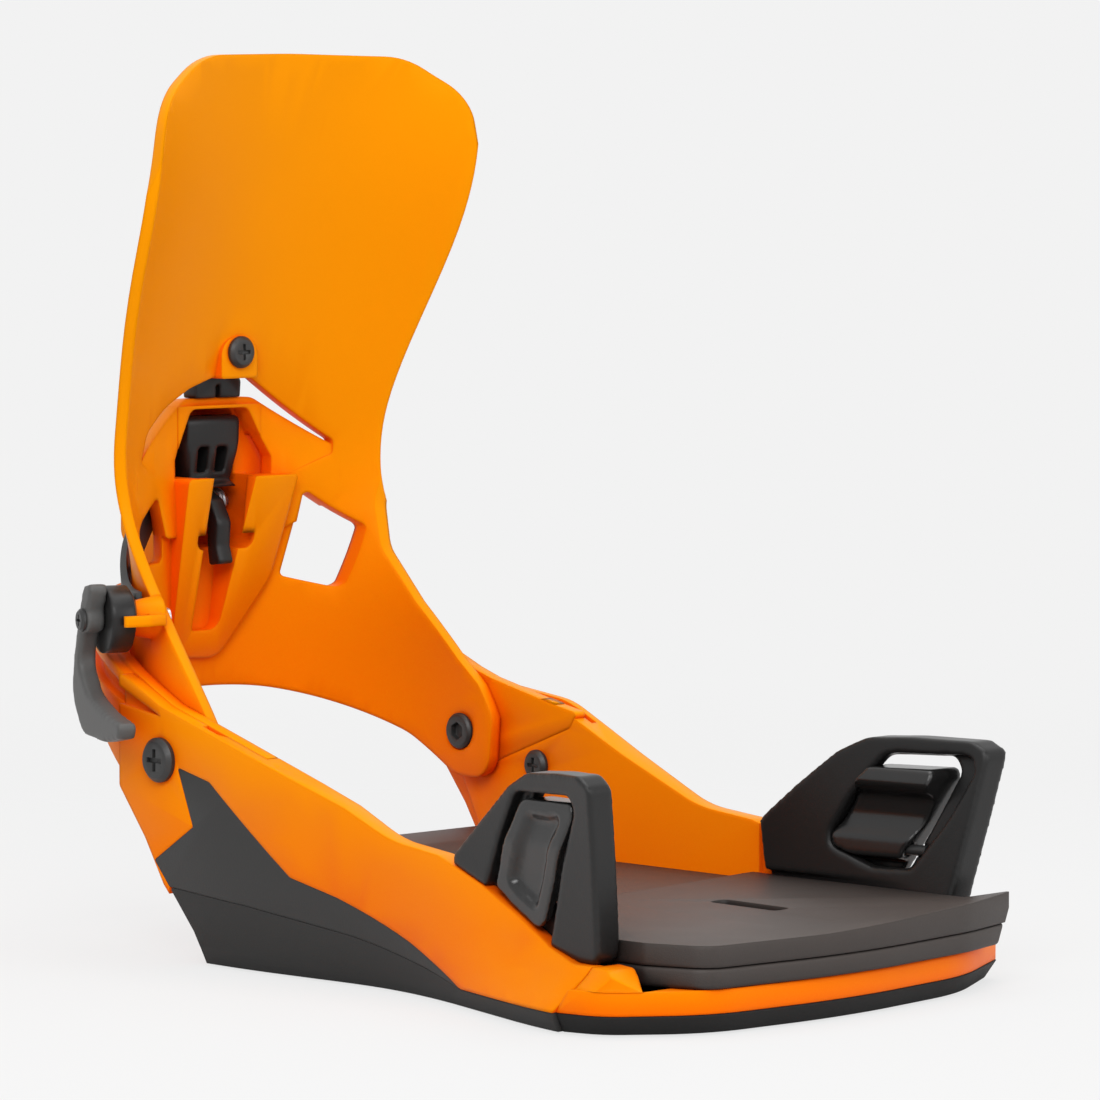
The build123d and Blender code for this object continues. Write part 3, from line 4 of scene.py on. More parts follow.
import bpy
from bpy.props import FloatProperty, FloatVectorProperty, PointerProperty
from bpy.types import Operator, Panel, PropertyGroup
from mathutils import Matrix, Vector

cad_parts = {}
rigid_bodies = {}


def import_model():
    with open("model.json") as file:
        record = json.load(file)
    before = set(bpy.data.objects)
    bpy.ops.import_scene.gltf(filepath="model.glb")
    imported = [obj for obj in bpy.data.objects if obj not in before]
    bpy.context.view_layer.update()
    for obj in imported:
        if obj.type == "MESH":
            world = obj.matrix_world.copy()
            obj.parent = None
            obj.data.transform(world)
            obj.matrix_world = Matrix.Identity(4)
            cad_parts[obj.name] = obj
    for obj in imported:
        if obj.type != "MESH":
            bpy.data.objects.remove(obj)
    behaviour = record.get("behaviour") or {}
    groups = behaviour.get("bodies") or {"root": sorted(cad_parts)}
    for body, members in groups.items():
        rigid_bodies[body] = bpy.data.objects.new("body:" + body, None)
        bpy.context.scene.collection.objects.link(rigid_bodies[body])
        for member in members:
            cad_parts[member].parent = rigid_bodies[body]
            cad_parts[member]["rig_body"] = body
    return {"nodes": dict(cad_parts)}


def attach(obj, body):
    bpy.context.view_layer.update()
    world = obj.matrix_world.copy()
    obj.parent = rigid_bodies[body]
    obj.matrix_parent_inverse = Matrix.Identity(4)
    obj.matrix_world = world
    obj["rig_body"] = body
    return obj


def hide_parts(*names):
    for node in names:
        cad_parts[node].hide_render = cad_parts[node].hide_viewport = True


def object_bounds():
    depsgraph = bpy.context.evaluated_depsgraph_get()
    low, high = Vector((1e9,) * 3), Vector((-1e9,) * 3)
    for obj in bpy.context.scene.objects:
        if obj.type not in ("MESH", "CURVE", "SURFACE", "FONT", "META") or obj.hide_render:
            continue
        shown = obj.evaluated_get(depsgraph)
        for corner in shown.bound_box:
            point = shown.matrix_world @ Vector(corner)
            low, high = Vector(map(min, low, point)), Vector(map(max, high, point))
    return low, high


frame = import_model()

bl_info = {
    "name": "Step-in board binding",
    "version": (1, 0, 0),
    "blender": (4, 5, 0),
    "location": "View3D > Sidebar > Binding",
    "description": "Dresses the packed binding with rounded, finished pieces and a studio",
    "category": "Object",
}

CAD_LOW, CAD_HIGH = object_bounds()
NODES = frame["nodes"]

# Meshes: lengths in metres, angles in degrees
MERGE_GAP = 0.00001
FLAT_ANGLE = 1.0
SHARP_ANGLE = 32.0
NODE_SHARP_ANGLE = 30.0
CAGE_ROUNDS = 20          # times the surface of a cage is smoothed
CLIP_ROUNDS = 7
LEVER_ROUNDS = 16
CLIP_FACE_X = 0.0565      # a clip's outer face lies beyond this distance from the middle
CLIP_FACE_LOOK = 0.8      # how squarely its faces look outwards
DISH_EDGE_ROWS = 3        # rows of faces outside the dish that its soft edge takes in
DISH_EDGE_ROUNDS = 14

# Finishes
RUBBER_TINT = (1.0, 0.97, 0.95)
BLACK_STEEL = (0.006, 0.006, 0.0065)
BRIGHT_STEEL = (0.42, 0.41, 0.42)
# Painted shade in hollows, from ambient occlusion
PAINTED_SHADE_REACH = 0.11       # how far a wall still counts for the painted shade in a hollow, metres
PAINTED_SHADE_FULL = 0.3         # openness at which the colour is wholly the painted shade
PAINTED_SHADE_NONE = 0.98        # openness at which no shade is painted
RAY_SAMPLES = 6

# Studio: places and lengths in metres, angles in degrees, lens and sensor in millimetres
KEY_PLACE, KEY_SIZE = (-0.85, -0.65, 0.85), 0.7
TOP_PLACE, TOP_SIZE = (0.1, 0.05, 1.25), 1.0
FILL_PLACE, FILL_SIZE = (0.35, -1.35, 0.6), 0.9
FLOOR_RADIUS = 0.9
FLOOR_DROP = 0.0005
FLOOR_TONE = 0.8
FLOOR_GLOW = 0.82         # share of plain backdrop in the floor that is seen; the rest takes shadow
FLOOR_FADE = (0.2, 0.85)  # distances from the middle between which the floor fades out
CAMERA_PLACE = (-1.11712, -1.18161, 0.23548)
CAMERA_TURN, CAMERA_RISE = -43.49, 4.24
CAMERA_LENS, CAMERA_SENSOR = 196.4, 36.0
CAMERA_CLIP = (0.05, 50.0)


# Sizes and colours that a user may change
class BindingShapes(PropertyGroup):
    """Rounding and mesh fineness of the moulded pieces."""

    moulded_edge: FloatProperty(
        name="Moulded edge", description="Width of the rounding on the moulded edges",
        default=0.0006, min=0.0001, max=0.002, subtype="DISTANCE", unit="LENGTH")
    fine_edge: FloatProperty(
        name="Fine edge", description="Width of the rounding on screws, pins and small metal pieces",
        default=0.00025, min=0.00005, max=0.001, subtype="DISTANCE", unit="LENGTH")
    cage_grain: FloatProperty(
        name="Cage mesh size", description="Mesh size of the toe cages and clips",
        default=0.00042, min=0.0003, max=0.002, subtype="DISTANCE", unit="LENGTH")
    clip_rim: FloatProperty(
        name="Clip rim", description="Width of the rim round the dished outer face of a clip",
        default=0.0042, min=0.001, max=0.01, subtype="DISTANCE", unit="LENGTH")
    clip_dish: FloatProperty(
        name="Clip dish", description="Depth of the dish in the outer face of a clip",
        default=0.0024, min=0.0, max=0.004, subtype="DISTANCE", unit="LENGTH")
    lever_grain: FloatProperty(
        name="Lever mesh size", description="Mesh size of the release lever",
        default=0.0006, min=0.0003, max=0.002, subtype="DISTANCE", unit="LENGTH")


class BindingColours(PropertyGroup):
    """Colours of the finishes."""

    shell: FloatVectorProperty(
        name="Shell", description="Moulded shell, highback and hoop", subtype="COLOR",
        size=3, min=0, max=1, default=(0.86, 0.284, 0.0006))
    # Painted shade: a deeper red painted into the shell's hollows, in place of shade and of orange
    # light bounced between its walls
    shell_painted_shade: FloatVectorProperty(
        name="Shell in hollows", description="Shell colour where coloured light bounces in hollows",
        subtype="COLOR", size=3, min=0, max=1, default=(0.84, 0.095, 0.0004))
    cage: FloatVectorProperty(
        name="Cages", description="Black toe cages, clips and latch", subtype="COLOR",
        size=3, min=0, max=1, default=(0.010, 0.0098, 0.0098))
    panel: FloatVectorProperty(
        name="Panels", description="Grey side panels", subtype="COLOR",
        size=3, min=0, max=1, default=(0.025, 0.0245, 0.024))
    lever: FloatVectorProperty(
        name="Lever", description="Grey release lever", subtype="COLOR",
        size=3, min=0, max=1, default=(0.074, 0.073, 0.071))
    foam: FloatVectorProperty(
        name="Foam", description="Footbed and pads", subtype="COLOR",
        size=3, min=0, max=1, default=(0.058, 0.045, 0.039))
    # Painted shade: a near-black painted into the foam's gaps and corners, where shade falls
    foam_painted_shade: FloatVectorProperty(
        name="Foam in hollows", description="Foam colour down in gaps and corners", subtype="COLOR",
        size=3, min=0, max=1, default=(0.012, 0.009, 0.008))
    sole: FloatProperty(
        name="Sole", description="Brightness of the sole's rubber", subtype="FACTOR",
        default=0.026, min=0, max=1)
    toe_sole: FloatProperty(
        name="Toe sole", description="Brightness of the rubber under the toe end", subtype="FACTOR",
        default=0.008, min=0, max=1)


class BindingStudio(PropertyGroup):
    """Light and background."""

    backdrop: FloatProperty(
        name="Backdrop", description="Brightness of the plain background",
        default=0.888, min=0, max=1, subtype="FACTOR")
    key_power: FloatProperty(
        name="Key light", description="Power of the large light on the lever side",
        default=10.0, min=0, subtype="POWER", unit="POWER")
    top_power: FloatProperty(
        name="Top light", description="Power of the light above",
        default=8.0, min=0, subtype="POWER", unit="POWER")
    fill_power: FloatProperty(
        name="Fill light", description="Power of the light in front of the toe",
        default=5.5, min=0, subtype="POWER", unit="POWER")
    sky: FloatProperty(
        name="Sky", description="Brightness of the even light from all round",
        default=0.5, min=0, max=2, subtype="FACTOR")


# Small helpers for meshes
def clear_selection():
    bpy.ops.object.select_all(action="DESELECT")


def take(piece):
    """Makes a piece the only selected and the active one."""
    clear_selection()
    piece.select_set(True)
    bpy.context.view_layer.objects.active = piece


def copy_of(node, name):
    """A copy of a CAD node's mesh, merged and without materials."""
    piece = bpy.data.objects.new(name, NODES[node].data.copy())
    bpy.context.scene.collection.objects.link(piece)
    piece.data.materials.clear()
    take(piece)
    bpy.ops.object.mode_set(mode="EDIT")
    bpy.ops.mesh.select_all(action="SELECT")
    bpy.ops.mesh.remove_doubles(threshold=MERGE_GAP)
    bpy.ops.object.mode_set(mode="OBJECT")
    return piece


def apply_all(piece):
    """Applies the piece's modifiers in order."""
    take(piece)
    for modifier in list(piece.modifiers):
        bpy.ops.object.modifier_apply(modifier=modifier.name)


def round_edges(piece, width, segments=2):
    """Makes the flat faces whole and rounds the sharp edges with a bevel."""
    take(piece)
    bpy.ops.object.mode_set(mode="EDIT")
    bpy.ops.mesh.select_all(action="SELECT")
    bpy.ops.mesh.dissolve_limited(angle_limit=math.radians(FLAT_ANGLE))
    bpy.ops.object.mode_set(mode="OBJECT")
    bevel = piece.modifiers.new("edges", "BEVEL")
    bevel.width = width
    bevel.segments = segments
    bevel.limit_method = "ANGLE"
    bevel.angle_limit = math.radians(SHARP_ANGLE)
    bevel.use_clamp_overlap = True
    bevel.miter_outer = "MITER_ARC"
    apply_all(piece)
    bpy.ops.object.shade_smooth_by_angle(angle=math.radians(SHARP_ANGLE))


def soften(piece, grain, rounds):
    """Remakes the surface in even small faces and smooths its edges."""
    remesh = piece.modifiers.new("even", "REMESH")
    remesh.mode = "VOXEL"
    remesh.voxel_size = grain
    remesh.use_smooth_shade = True
    smooth = piece.modifiers.new("soft", "SMOOTH")
    smooth.factor = 0.5
    smooth.iterations = rounds
    apply_all(piece)
    bpy.ops.object.shade_smooth()


def fill_flutes(piece):
    """Closes the flutes and the bore of a drum, down to its plain outer shape."""
    take(piece)
    bpy.ops.object.mode_set(mode="EDIT")
    bpy.ops.mesh.select_all(action="SELECT")
    bpy.ops.mesh.convex_hull()
    bpy.ops.object.mode_set(mode="OBJECT")


def dish(piece, side, grain, rim, depth):
    """Sinks the middle of the face that looks outwards, within a rim."""
    for face in piece.data.polygons:
        looks_out = face.normal.x * side > CLIP_FACE_LOOK
        face.select = looks_out and face.center.x * side > CLIP_FACE_X
    take(piece)
    bpy.ops.object.mode_set(mode="EDIT")
    bpy.ops.mesh.select_mode(type="FACE")
    for _ in range(round(rim / grain)):
        bpy.ops.mesh.select_less()
    bpy.ops.transform.translate(value=(-side * depth, 0, 0))
    for _ in range(DISH_EDGE_ROWS):
        bpy.ops.mesh.select_more()
    bpy.ops.mesh.vertices_smooth(factor=0.5, repeat=DISH_EDGE_ROUNDS)
    bpy.ops.object.mode_set(mode="OBJECT")
    bpy.ops.object.shade_smooth()


def fit(piece, node, material):
    """Gives the piece its finish, lets it ride on the node's body and stand for the node."""
    piece.data.materials.clear()
    piece.data.materials.append(material)
    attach(piece, NODES[node]["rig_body"])
    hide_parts(node)


def paint_node(node, material):
    """Gives a CAD node that stays in view its finish."""
    mesh = NODES[node].data
    mesh.materials.clear()
    mesh.materials.append(material)
    take(NODES[node])
    bpy.ops.object.shade_smooth_by_angle(angle=math.radians(NODE_SHARP_ANGLE))


# Finishes
def grain_group():
    """Fine moulded grain and a slow change of tone, shared by the plastics, rubber and foam."""
    group = bpy.data.node_groups.get("moulded_grain")
    if group:
        return group
    group = bpy.data.node_groups.new("moulded_grain", "ShaderNodeTree")
    face = group.interface
    for name, default in (("Grain scale", 900.0), ("Tone scale", 25.0)):
        socket = face.new_socket(name=name, in_out="INPUT", socket_type="NodeSocketFloat")
        socket.default_value = default
    face.new_socket(name="Grain", in_out="OUTPUT", socket_type="NodeSocketFloat")
    face.new_socket(name="Tone", in_out="OUTPUT", socket_type="NodeSocketFloat")
    nodes, links = group.nodes, group.links
    inside = nodes.new("NodeGroupInput")
    outside = nodes.new("NodeGroupOutput")
    place = nodes.new("ShaderNodeTexCoord")
    fine = nodes.new("ShaderNodeTexNoise")
    fine.inputs["Detail"].default_value = 3.0
    fine.inputs["Roughness"].default_value = 0.6
    slow = nodes.new("ShaderNodeTexNoise")
    slow.inputs["Detail"].default_value = 4.0
    links.new(place.outputs["Object"], fine.inputs["Vector"])
    links.new(place.outputs["Object"], slow.inputs["Vector"])
    links.new(inside.outputs["Grain scale"], fine.inputs["Scale"])
    links.new(inside.outputs["Tone scale"], slow.inputs["Scale"])
    links.new(fine.outputs["Fac"], outside.inputs["Grain"])
    links.new(slow.outputs["Fac"], outside.inputs["Tone"])
    return group


def paint_hollow_shade(tree, shade, painted_shade):
    """Paints shade into hollows: moves a colour towards a painted shade colour where walls stand
    near, in place of shade and of light bounced between coloured walls.
    """
    reach = tree.nodes.new("ShaderNodeAmbientOcclusion")
    reach.samples = RAY_SAMPLES
    reach.inputs["Distance"].default_value = PAINTED_SHADE_REACH
    spread = tree.nodes.new("ShaderNodeMapRange")
    spread.inputs["From Min"].default_value = PAINTED_SHADE_FULL
    spread.inputs["From Max"].default_value = PAINTED_SHADE_NONE
    mix = tree.nodes.new("ShaderNodeMix")
    mix.data_type = "RGBA"
    mix.inputs["A"].default_value = (*painted_shade, 1)
    tree.links.new(reach.outputs["AO"], spread.inputs["Value"])
    tree.links.new(spread.outputs["Result"], mix.inputs["Factor"])
    tree.links.new(shade, mix.inputs["B"])
    return mix.outputs["Result"]


def finish_of(name, colour, tone, rough, grain, height, rounding=0.0008, tone_scale=25.0,
              metallic=0.0, specular=0.5, tint=(1, 1, 1), painted_shade=None):
    """A finish with moulded grain. A slow tone moves its colour and its gloss, the grain stands up
    by height, rounding is the radius of its soft edges, and a painted shade colour, if given, is
    mixed into its hollows."""
    found = bpy.data.materials.get(name)
    if found:
        return found
    material = bpy.data.materials.new(name)
    material.use_nodes = True
    tree = material.node_tree
    shader = tree.nodes["Principled BSDF"]
    shader.inputs["Metallic"].default_value = metallic
    shader.inputs["Specular IOR Level"].default_value = specular
    shader.inputs["Specular Tint"].default_value = (*tint, 1)
    texture = tree.nodes.new("ShaderNodeGroup")
    texture.node_tree = grain_group()
    texture.inputs["Grain scale"].default_value = grain
    texture.inputs["Tone scale"].default_value = tone_scale
    blend = tree.nodes.new("ShaderNodeMix")
    blend.data_type = "RGBA"
    blend.inputs["A"].default_value = (*[c * (1 - tone) for c in colour], 1)
    blend.inputs["B"].default_value = (*[min(1, c * (1 + tone)) for c in colour], 1)
    tree.links.new(texture.outputs["Tone"], blend.inputs["Factor"])
    shade = blend.outputs["Result"]
    # painted shade: the colour is mixed towards a darker colour in hollows
    if painted_shade:
        shade = paint_hollow_shade(tree, shade, painted_shade)
    tree.links.new(shade, shader.inputs["Base Color"])
    gloss = tree.nodes.new("ShaderNodeMapRange")
    gloss.inputs["To Min"].default_value = rough[0]
    gloss.inputs["To Max"].default_value = rough[1]
    tree.links.new(texture.outputs["Tone"], gloss.inputs["Value"])
    tree.links.new(gloss.outputs["Result"], shader.inputs["Roughness"])
    bump = tree.nodes.new("ShaderNodeBump")
    bump.inputs["Strength"].default_value = 1.0
    bump.inputs["Distance"].default_value = height
    soft_edge = tree.nodes.new("ShaderNodeBevel")
    soft_edge.samples = RAY_SAMPLES
    soft_edge.inputs["Radius"].default_value = rounding
    tree.links.new(texture.outputs["Grain"], bump.inputs["Height"])
    tree.links.new(soft_edge.outputs["Normal"], bump.inputs["Normal"])
    tree.links.new(bump.outputs["Normal"], shader.inputs["Normal"])
    return material


def shell_finish():
    colours = bpy.context.scene.binding_colours
    # the shell's hollows get painted shade, a deeper red in place of shade and bounced orange light
    return finish_of("shell_nylon", tuple(colours.shell), tone=0.03, rough=(0.34, 0.44), grain=1400.0,
                     height=0.00002, rounding=0.0014, specular=0.10, tint=(1.0, 0.6, 0.15),
                     painted_shade=tuple(colours.shell_painted_shade))


def cage_finish():
    colours = bpy.context.scene.binding_colours
    return finish_of("cage_nylon", tuple(colours.cage), tone=0.15, rough=(0.28, 0.38), grain=1600.0,
                     height=0.00003, rounding=0.0015, specular=0.3)


def clip_finish():
    colours = bpy.context.scene.binding_colours
    return finish_of("clip_nylon", tuple(colours.cage), tone=0.1, rough=(0.16, 0.26), grain=1600.0,
                     height=0.00001)


def panel_finish():
    colours = bpy.context.scene.binding_colours
    return finish_of("panel_nylon", tuple(colours.panel), tone=0.1, rough=(0.45, 0.58), grain=1600.0,
                     height=0.00005, specular=0.35)


def lever_finish():
    colours = bpy.context.scene.binding_colours
    return finish_of("lever_nylon", tuple(colours.lever), tone=0.08, rough=(0.42, 0.52), grain=1600.0,
                     height=0.00004, rounding=0.0012, specular=0.35)


def foam_finish():
    colours = bpy.context.scene.binding_colours
    # the foam's gaps and corners get painted shade, a near-black
    return finish_of("bed_foam", tuple(colours.foam), tone=0.12, rough=(0.42, 0.6), grain=2200.0,
                     height=0.00008, rounding=0.0012, tone_scale=40.0, specular=0.35,
                     painted_shade=tuple(colours.foam_painted_shade))


def rubber_finish(name, shade):
    return finish_of(name, tuple(shade * part for part in RUBBER_TINT), tone=0.15, rough=(0.55, 0.7),
                     grain=1800.0, height=0.00006, specular=0.25)


def black_steel():
    return finish_of("black_steel", BLACK_STEEL, tone=0.2, rough=(0.18, 0.28), grain=2500.0,
                     height=0.00001, rounding=0.0004, tone_scale=60.0, specular=0.35)


def bright_steel():
    return finish_of("bright_steel", BRIGHT_STEEL, tone=0.15, rough=(0.25, 0.4), grain=2500.0,
                     height=0.00001, rounding=0.0002, tone_scale=80.0, metallic=1.0)


# Pieces
class BINDING_OT_shell(Operator):
    """Highback, chassis, hoop and toe end in the shell colour"""

    bl_idname = "binding.shell"
    bl_label = "Shell"

    def execute(self, context):
        shapes = context.scene.binding_shapes
        for node, name in (("highback", "back_shell"), ("chassis", "base_shell"),
                           ("heel_hoop", "hoop_shell"), ("toe_end", "toe_shell")):
            piece = copy_of(node, name)
            round_edges(piece, shapes.moulded_edge)
            fit(piece, node, shell_finish())
        return {"FINISHED"}


class BINDING_OT_panels(Operator):
    """Grey side panels with their skirts"""

    bl_idname = "binding.panels"
    bl_label = "Side panels"

    def execute(self, context):
        shapes = context.scene.binding_shapes
        for side in ("inner", "outer"):
            piece = copy_of("side_panel_" + side, "panel_" + side)
            round_edges(piece, 0.6 * shapes.moulded_edge)
            fit(piece, "side_panel_" + side, panel_finish())
        return {"FINISHED"}


class BINDING_OT_cages(Operator):
    """Toe cages and their sprung clips"""

    bl_idname = "binding.cages"
    bl_label = "Toe cages"

    def execute(self, context):
        shapes = context.scene.binding_shapes
        for side in ("inner", "outer"):
            cage = copy_of("toe_cage_" + side, "cage_" + side)
            soften(cage, shapes.cage_grain, CAGE_ROUNDS)
            fit(cage, "toe_cage_" + side, cage_finish())
            clip = copy_of("toe_clip_" + side, "clip_" + side)
            soften(clip, shapes.cage_grain, CLIP_ROUNDS)
            outwards = 1.0 if side == "inner" else -1.0
            dish(clip, outwards, shapes.cage_grain, shapes.clip_rim, shapes.clip_dish)
            fit(clip, "toe_clip_" + side, clip_finish())
            paint_node("toe_clip_pin_" + side, black_steel())
        return {"FINISHED"}


class BINDING_OT_bed(Operator):
    """Foam footbed, its ramp and the heel pad"""

    bl_idname = "binding.bed"
    bl_label = "Footbed"

    def execute(self, context):
        shapes = context.scene.binding_shapes
        for node, name in (("footbed", "bed"), ("toe_ramp", "ramp"), ("heel_pad", "pad")):
            piece = copy_of(node, name)
            round_edges(piece, 2 * shapes.moulded_edge, segments=3)
            fit(piece, node, foam_finish())
        return {"FINISHED"}


class BINDING_OT_sole(Operator):
    """Rubber soles and the mounting disc"""

    bl_idname = "binding.sole"
    bl_label = "Sole and disc"

    def execute(self, context):
        shapes = context.scene.binding_shapes
        colours = context.scene.binding_colours
        for node, shade in (("sole", colours.sole), ("toe_sole", colours.toe_sole)):
            piece = copy_of(node, node + "_rubber")
            round_edges(piece, shapes.moulded_edge)
            fit(piece, node, rubber_finish(node + "_rubber", shade))
        disc = copy_of("mounting_disc", "disc")
        round_edges(disc, 0.5 * shapes.moulded_edge)
        fit(disc, "mounting_disc", cage_finish())
        return {"FINISHED"}


class BINDING_OT_latch(Operator):
    """Heel latch with its tail, pin and spring, and the forward lean stop"""

    bl_idname = "binding.latch"
    bl_label = "Heel latch"

    def execute(self, context):
        shapes = context.scene.binding_shapes
        for node, name in (("heel_latch", "latch"), ("latch_tail", "tail"),
                           ("lean_clip", "lean_stop"), ("lean_block", "lean_slide")):
            piece = copy_of(node, name)
            round_edges(piece, 1.5 * shapes.fine_edge)
            fit(piece, node, cage_finish())
        paint_node("latch_pin", bright_steel())
        paint_node("latch_spring", bright_steel())
        return {"FINISHED"}


class BINDING_OT_lever(Operator):
    """Release lever, its hub and the link to the latch"""

    bl_idname = "binding.lever"
    bl_label = "Release lever"

    def execute(self, context):
        shapes = context.scene.binding_shapes
        lever = copy_of("release_lever", "lever")
        soften(lever, shapes.lever_grain, LEVER_ROUNDS)
        fit(lever, "release_lever", lever_finish())
        hub = copy_of("lever_hub", "hub")
        fill_flutes(hub)
        round_edges(hub, 2 * shapes.moulded_edge)
        fit(hub, "lever_hub", cage_finish())
        link = copy_of("lever_link", "link")
        round_edges(link, shapes.fine_edge)
        fit(link, "lever_link", black_steel())
        paint_node("lever_shaft", bright_steel())
        paint_node("lever_screw", black_steel())
        return {"FINISHED"}


class BINDING_OT_fasteners(Operator):
    """Pivot, hoop, cage and highback screws"""

    bl_idname = "binding.fasteners"
    bl_label = "Screws"

    def execute(self, context):
        shapes = context.scene.binding_shapes
        for node in ("pivot_screw_inner", "pivot_screw_outer", "pivot_nut_inner", "pivot_nut_outer",
                     "highback_screw", "hoop_screws", "cage_screws"):
            piece = copy_of(node, node + "_steel")
            round_edges(piece, shapes.fine_edge)
            fit(piece, node, black_steel())
        return {"FINISHED"}


def area_light(name, place, target, size, power):
    """A square light that looks at the target."""
    data = bpy.data.lights.new(name, "AREA")
    data.shape = "SQUARE"
    data.size = size
    data.energy = power
    lamp = bpy.data.objects.new(name, data)
    lamp.location = place
    lamp.rotation_mode = "QUATERNION"
    lamp.rotation_quaternion = (Vector(target) - Vector(place)).to_track_quat("-Z", "Y")
    bpy.context.scene.collection.objects.link(lamp)


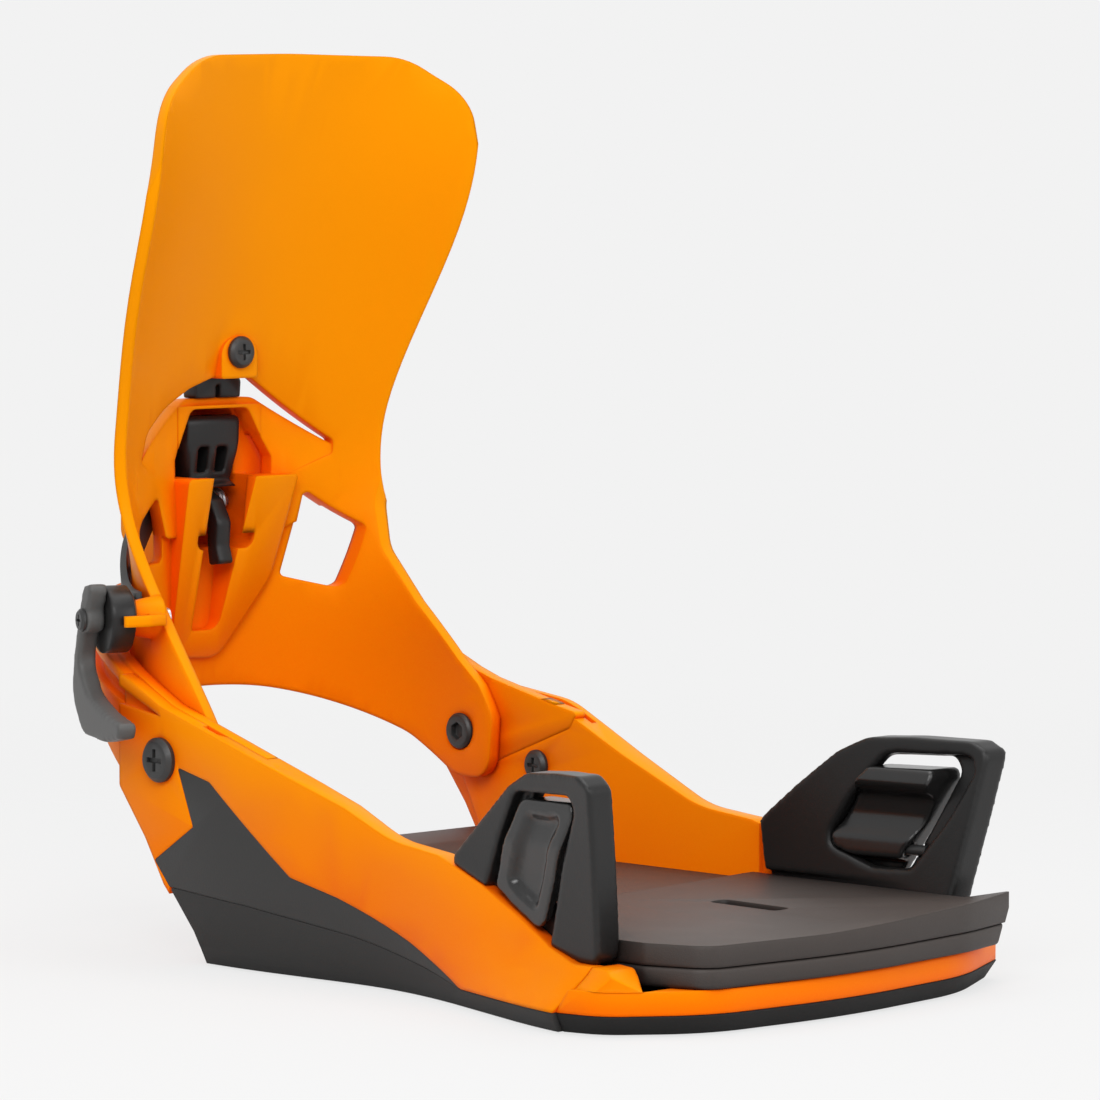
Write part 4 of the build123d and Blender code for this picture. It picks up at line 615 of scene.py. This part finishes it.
class BINDING_OT_stage(Operator):
    """Floor, background, lights and camera"""

    bl_idname = "binding.stage"
    bl_label = "Studio"

    def execute(self, context):
        scene = context.scene
        studio = scene.binding_studio
        scene.view_settings.view_transform = "Standard"
        self.background(scene, studio)
        self.floor(studio)
        centre = (CAD_LOW + CAD_HIGH) / 2
        area_light("key", KEY_PLACE, centre, KEY_SIZE, studio.key_power)
        area_light("top", TOP_PLACE, centre, TOP_SIZE, studio.top_power)
        area_light("fill", FILL_PLACE, centre, FILL_SIZE, studio.fill_power)
        self.camera(scene)
        return {"FINISHED"}

    def background(self, scene, studio):
        """Even light on the object, and the plain backdrop where it is seen or mirrored."""
        world = bpy.data.worlds.new("studio")
        scene.world = world
        world.use_nodes = True
        tree = world.node_tree
        tree.nodes.clear()
        out = tree.nodes.new("ShaderNodeOutputWorld")
        mix = tree.nodes.new("ShaderNodeMixShader")
        even = tree.nodes.new("ShaderNodeBackground")
        even.inputs["Color"].default_value = (1, 1, 1, 1)
        even.inputs["Strength"].default_value = studio.sky
        seen = tree.nodes.new("ShaderNodeBackground")
        seen.inputs["Color"].default_value = (studio.backdrop,) * 3 + (1,)
        rays = tree.nodes.new("ShaderNodeLightPath")
        first = tree.nodes.new("ShaderNodeMath")
        first.operation = "MAXIMUM"
        second = tree.nodes.new("ShaderNodeMath")
        second.operation = "MAXIMUM"
        tree.links.new(rays.outputs["Is Camera Ray"], first.inputs[0])
        tree.links.new(rays.outputs["Is Glossy Ray"], first.inputs[1])
        tree.links.new(first.outputs[0], second.inputs[0])
        tree.links.new(rays.outputs["Is Transmission Ray"], second.inputs[1])
        tree.links.new(second.outputs[0], mix.inputs["Fac"])
        tree.links.new(even.outputs[0], mix.inputs[1])
        tree.links.new(seen.outputs[0], mix.inputs[2])
        tree.links.new(mix.outputs[0], out.inputs["Surface"])

    def floor(self, studio):
        """Pale floor that takes the shadow and fades into the backdrop."""
        clear_selection()
        bpy.ops.mesh.primitive_circle_add(
            vertices=96, radius=FLOOR_RADIUS, fill_type="NGON", location=(0, 0, -FLOOR_DROP))
        floor = bpy.context.object
        floor.name = "studio_floor"
        material = bpy.data.materials.new("studio_floor")
        material.use_nodes = True
        tree = material.node_tree
        tree.nodes.clear()
        out = tree.nodes.new("ShaderNodeOutputMaterial")
        fade = tree.nodes.new("ShaderNodeMixShader")
        clear = tree.nodes.new("ShaderNodeBsdfTransparent")
        body = tree.nodes.new("ShaderNodeMixShader")
        glow = tree.nodes.new("ShaderNodeEmission")
        glow.inputs["Color"].default_value = (studio.backdrop,) * 3 + (1,)
        matt = tree.nodes.new("ShaderNodeBsdfDiffuse")
        matt.inputs["Color"].default_value = (FLOOR_TONE,) * 3 + (1,)
        place = tree.nodes.new("ShaderNodeTexCoord")
        reach = tree.nodes.new("ShaderNodeVectorMath")
        reach.operation = "LENGTH"
        ramp = tree.nodes.new("ShaderNodeMapRange")
        ramp.interpolation_type = "SMOOTHSTEP"
        ramp.inputs["From Min"].default_value = FLOOR_FADE[0]
        ramp.inputs["From Max"].default_value = FLOOR_FADE[1]
        rays = tree.nodes.new("ShaderNodeLightPath")
        share = tree.nodes.new("ShaderNodeMath")
        share.operation = "MULTIPLY"
        share.inputs[1].default_value = FLOOR_GLOW
        tree.links.new(rays.outputs["Is Camera Ray"], share.inputs[0])
        tree.links.new(place.outputs["Object"], reach.inputs[0])
        tree.links.new(reach.outputs["Value"], ramp.inputs["Value"])
        tree.links.new(share.outputs[0], body.inputs["Fac"])
        tree.links.new(matt.outputs[0], body.inputs[1])
        tree.links.new(glow.outputs[0], body.inputs[2])
        tree.links.new(ramp.outputs["Result"], fade.inputs["Fac"])
        tree.links.new(body.outputs[0], fade.inputs[1])
        tree.links.new(clear.outputs[0], fade.inputs[2])
        tree.links.new(fade.outputs[0], out.inputs["Surface"])
        floor.data.materials.append(material)

    def camera(self, scene):
        data = bpy.data.cameras.new("camera")
        data.sensor_width = CAMERA_SENSOR
        data.lens = CAMERA_LENS
        data.clip_start, data.clip_end = CAMERA_CLIP
        camera = bpy.data.objects.new("camera", data)
        turn, rise = math.radians(CAMERA_TURN), math.radians(CAMERA_RISE)
        level = math.cos(rise)
        back = Vector((math.sin(turn) * level, -math.cos(turn) * level, math.sin(rise)))
        camera.location = CAMERA_PLACE
        camera.rotation_mode = "QUATERNION"
        camera.rotation_quaternion = (-back).to_track_quat("-Z", "Y")
        scene.collection.objects.link(camera)
        scene.camera = camera


class BINDING_PT_panel(Panel):
    """Lists the steps of the binding"""

    bl_label = "Binding"
    bl_idname = "BINDING_PT_panel"
    bl_space_type = "VIEW_3D"
    bl_region_type = "UI"
    bl_category = "Binding"

    def draw(self, context):
        column = self.layout.column()
        for operator in OPERATORS:
            column.operator(operator.bl_idname)
        for group in ("binding_shapes", "binding_colours", "binding_studio"):
            settings = getattr(context.scene, group)
            for name in settings.bl_rna.properties.keys():
                if name not in ("name", "rna_type"):
                    column.prop(settings, name)


OPERATORS = (BINDING_OT_shell, BINDING_OT_panels, BINDING_OT_cages, BINDING_OT_bed, BINDING_OT_sole,
             BINDING_OT_latch, BINDING_OT_lever, BINDING_OT_fasteners, BINDING_OT_stage)
GROUPS = (BindingShapes, BindingColours, BindingStudio)


def register():
    for group in (*GROUPS, *OPERATORS, BINDING_PT_panel):
        bpy.utils.register_class(group)
    bpy.types.Scene.binding_shapes = PointerProperty(type=BindingShapes)
    bpy.types.Scene.binding_colours = PointerProperty(type=BindingColours)
    bpy.types.Scene.binding_studio = PointerProperty(type=BindingStudio)


def unregister():
    del bpy.types.Scene.binding_shapes
    del bpy.types.Scene.binding_colours
    del bpy.types.Scene.binding_studio
    for group in reversed((*GROUPS, *OPERATORS, BINDING_PT_panel)):
        bpy.utils.unregister_class(group)


def main():
    register()
    bpy.ops.binding.shell()
    bpy.ops.binding.panels()
    bpy.ops.binding.cages()
    bpy.ops.binding.bed()
    bpy.ops.binding.sole()
    bpy.ops.binding.latch()
    bpy.ops.binding.lever()
    bpy.ops.binding.fasteners()
    bpy.ops.binding.stage()


if __name__ == "__main__":
    main()
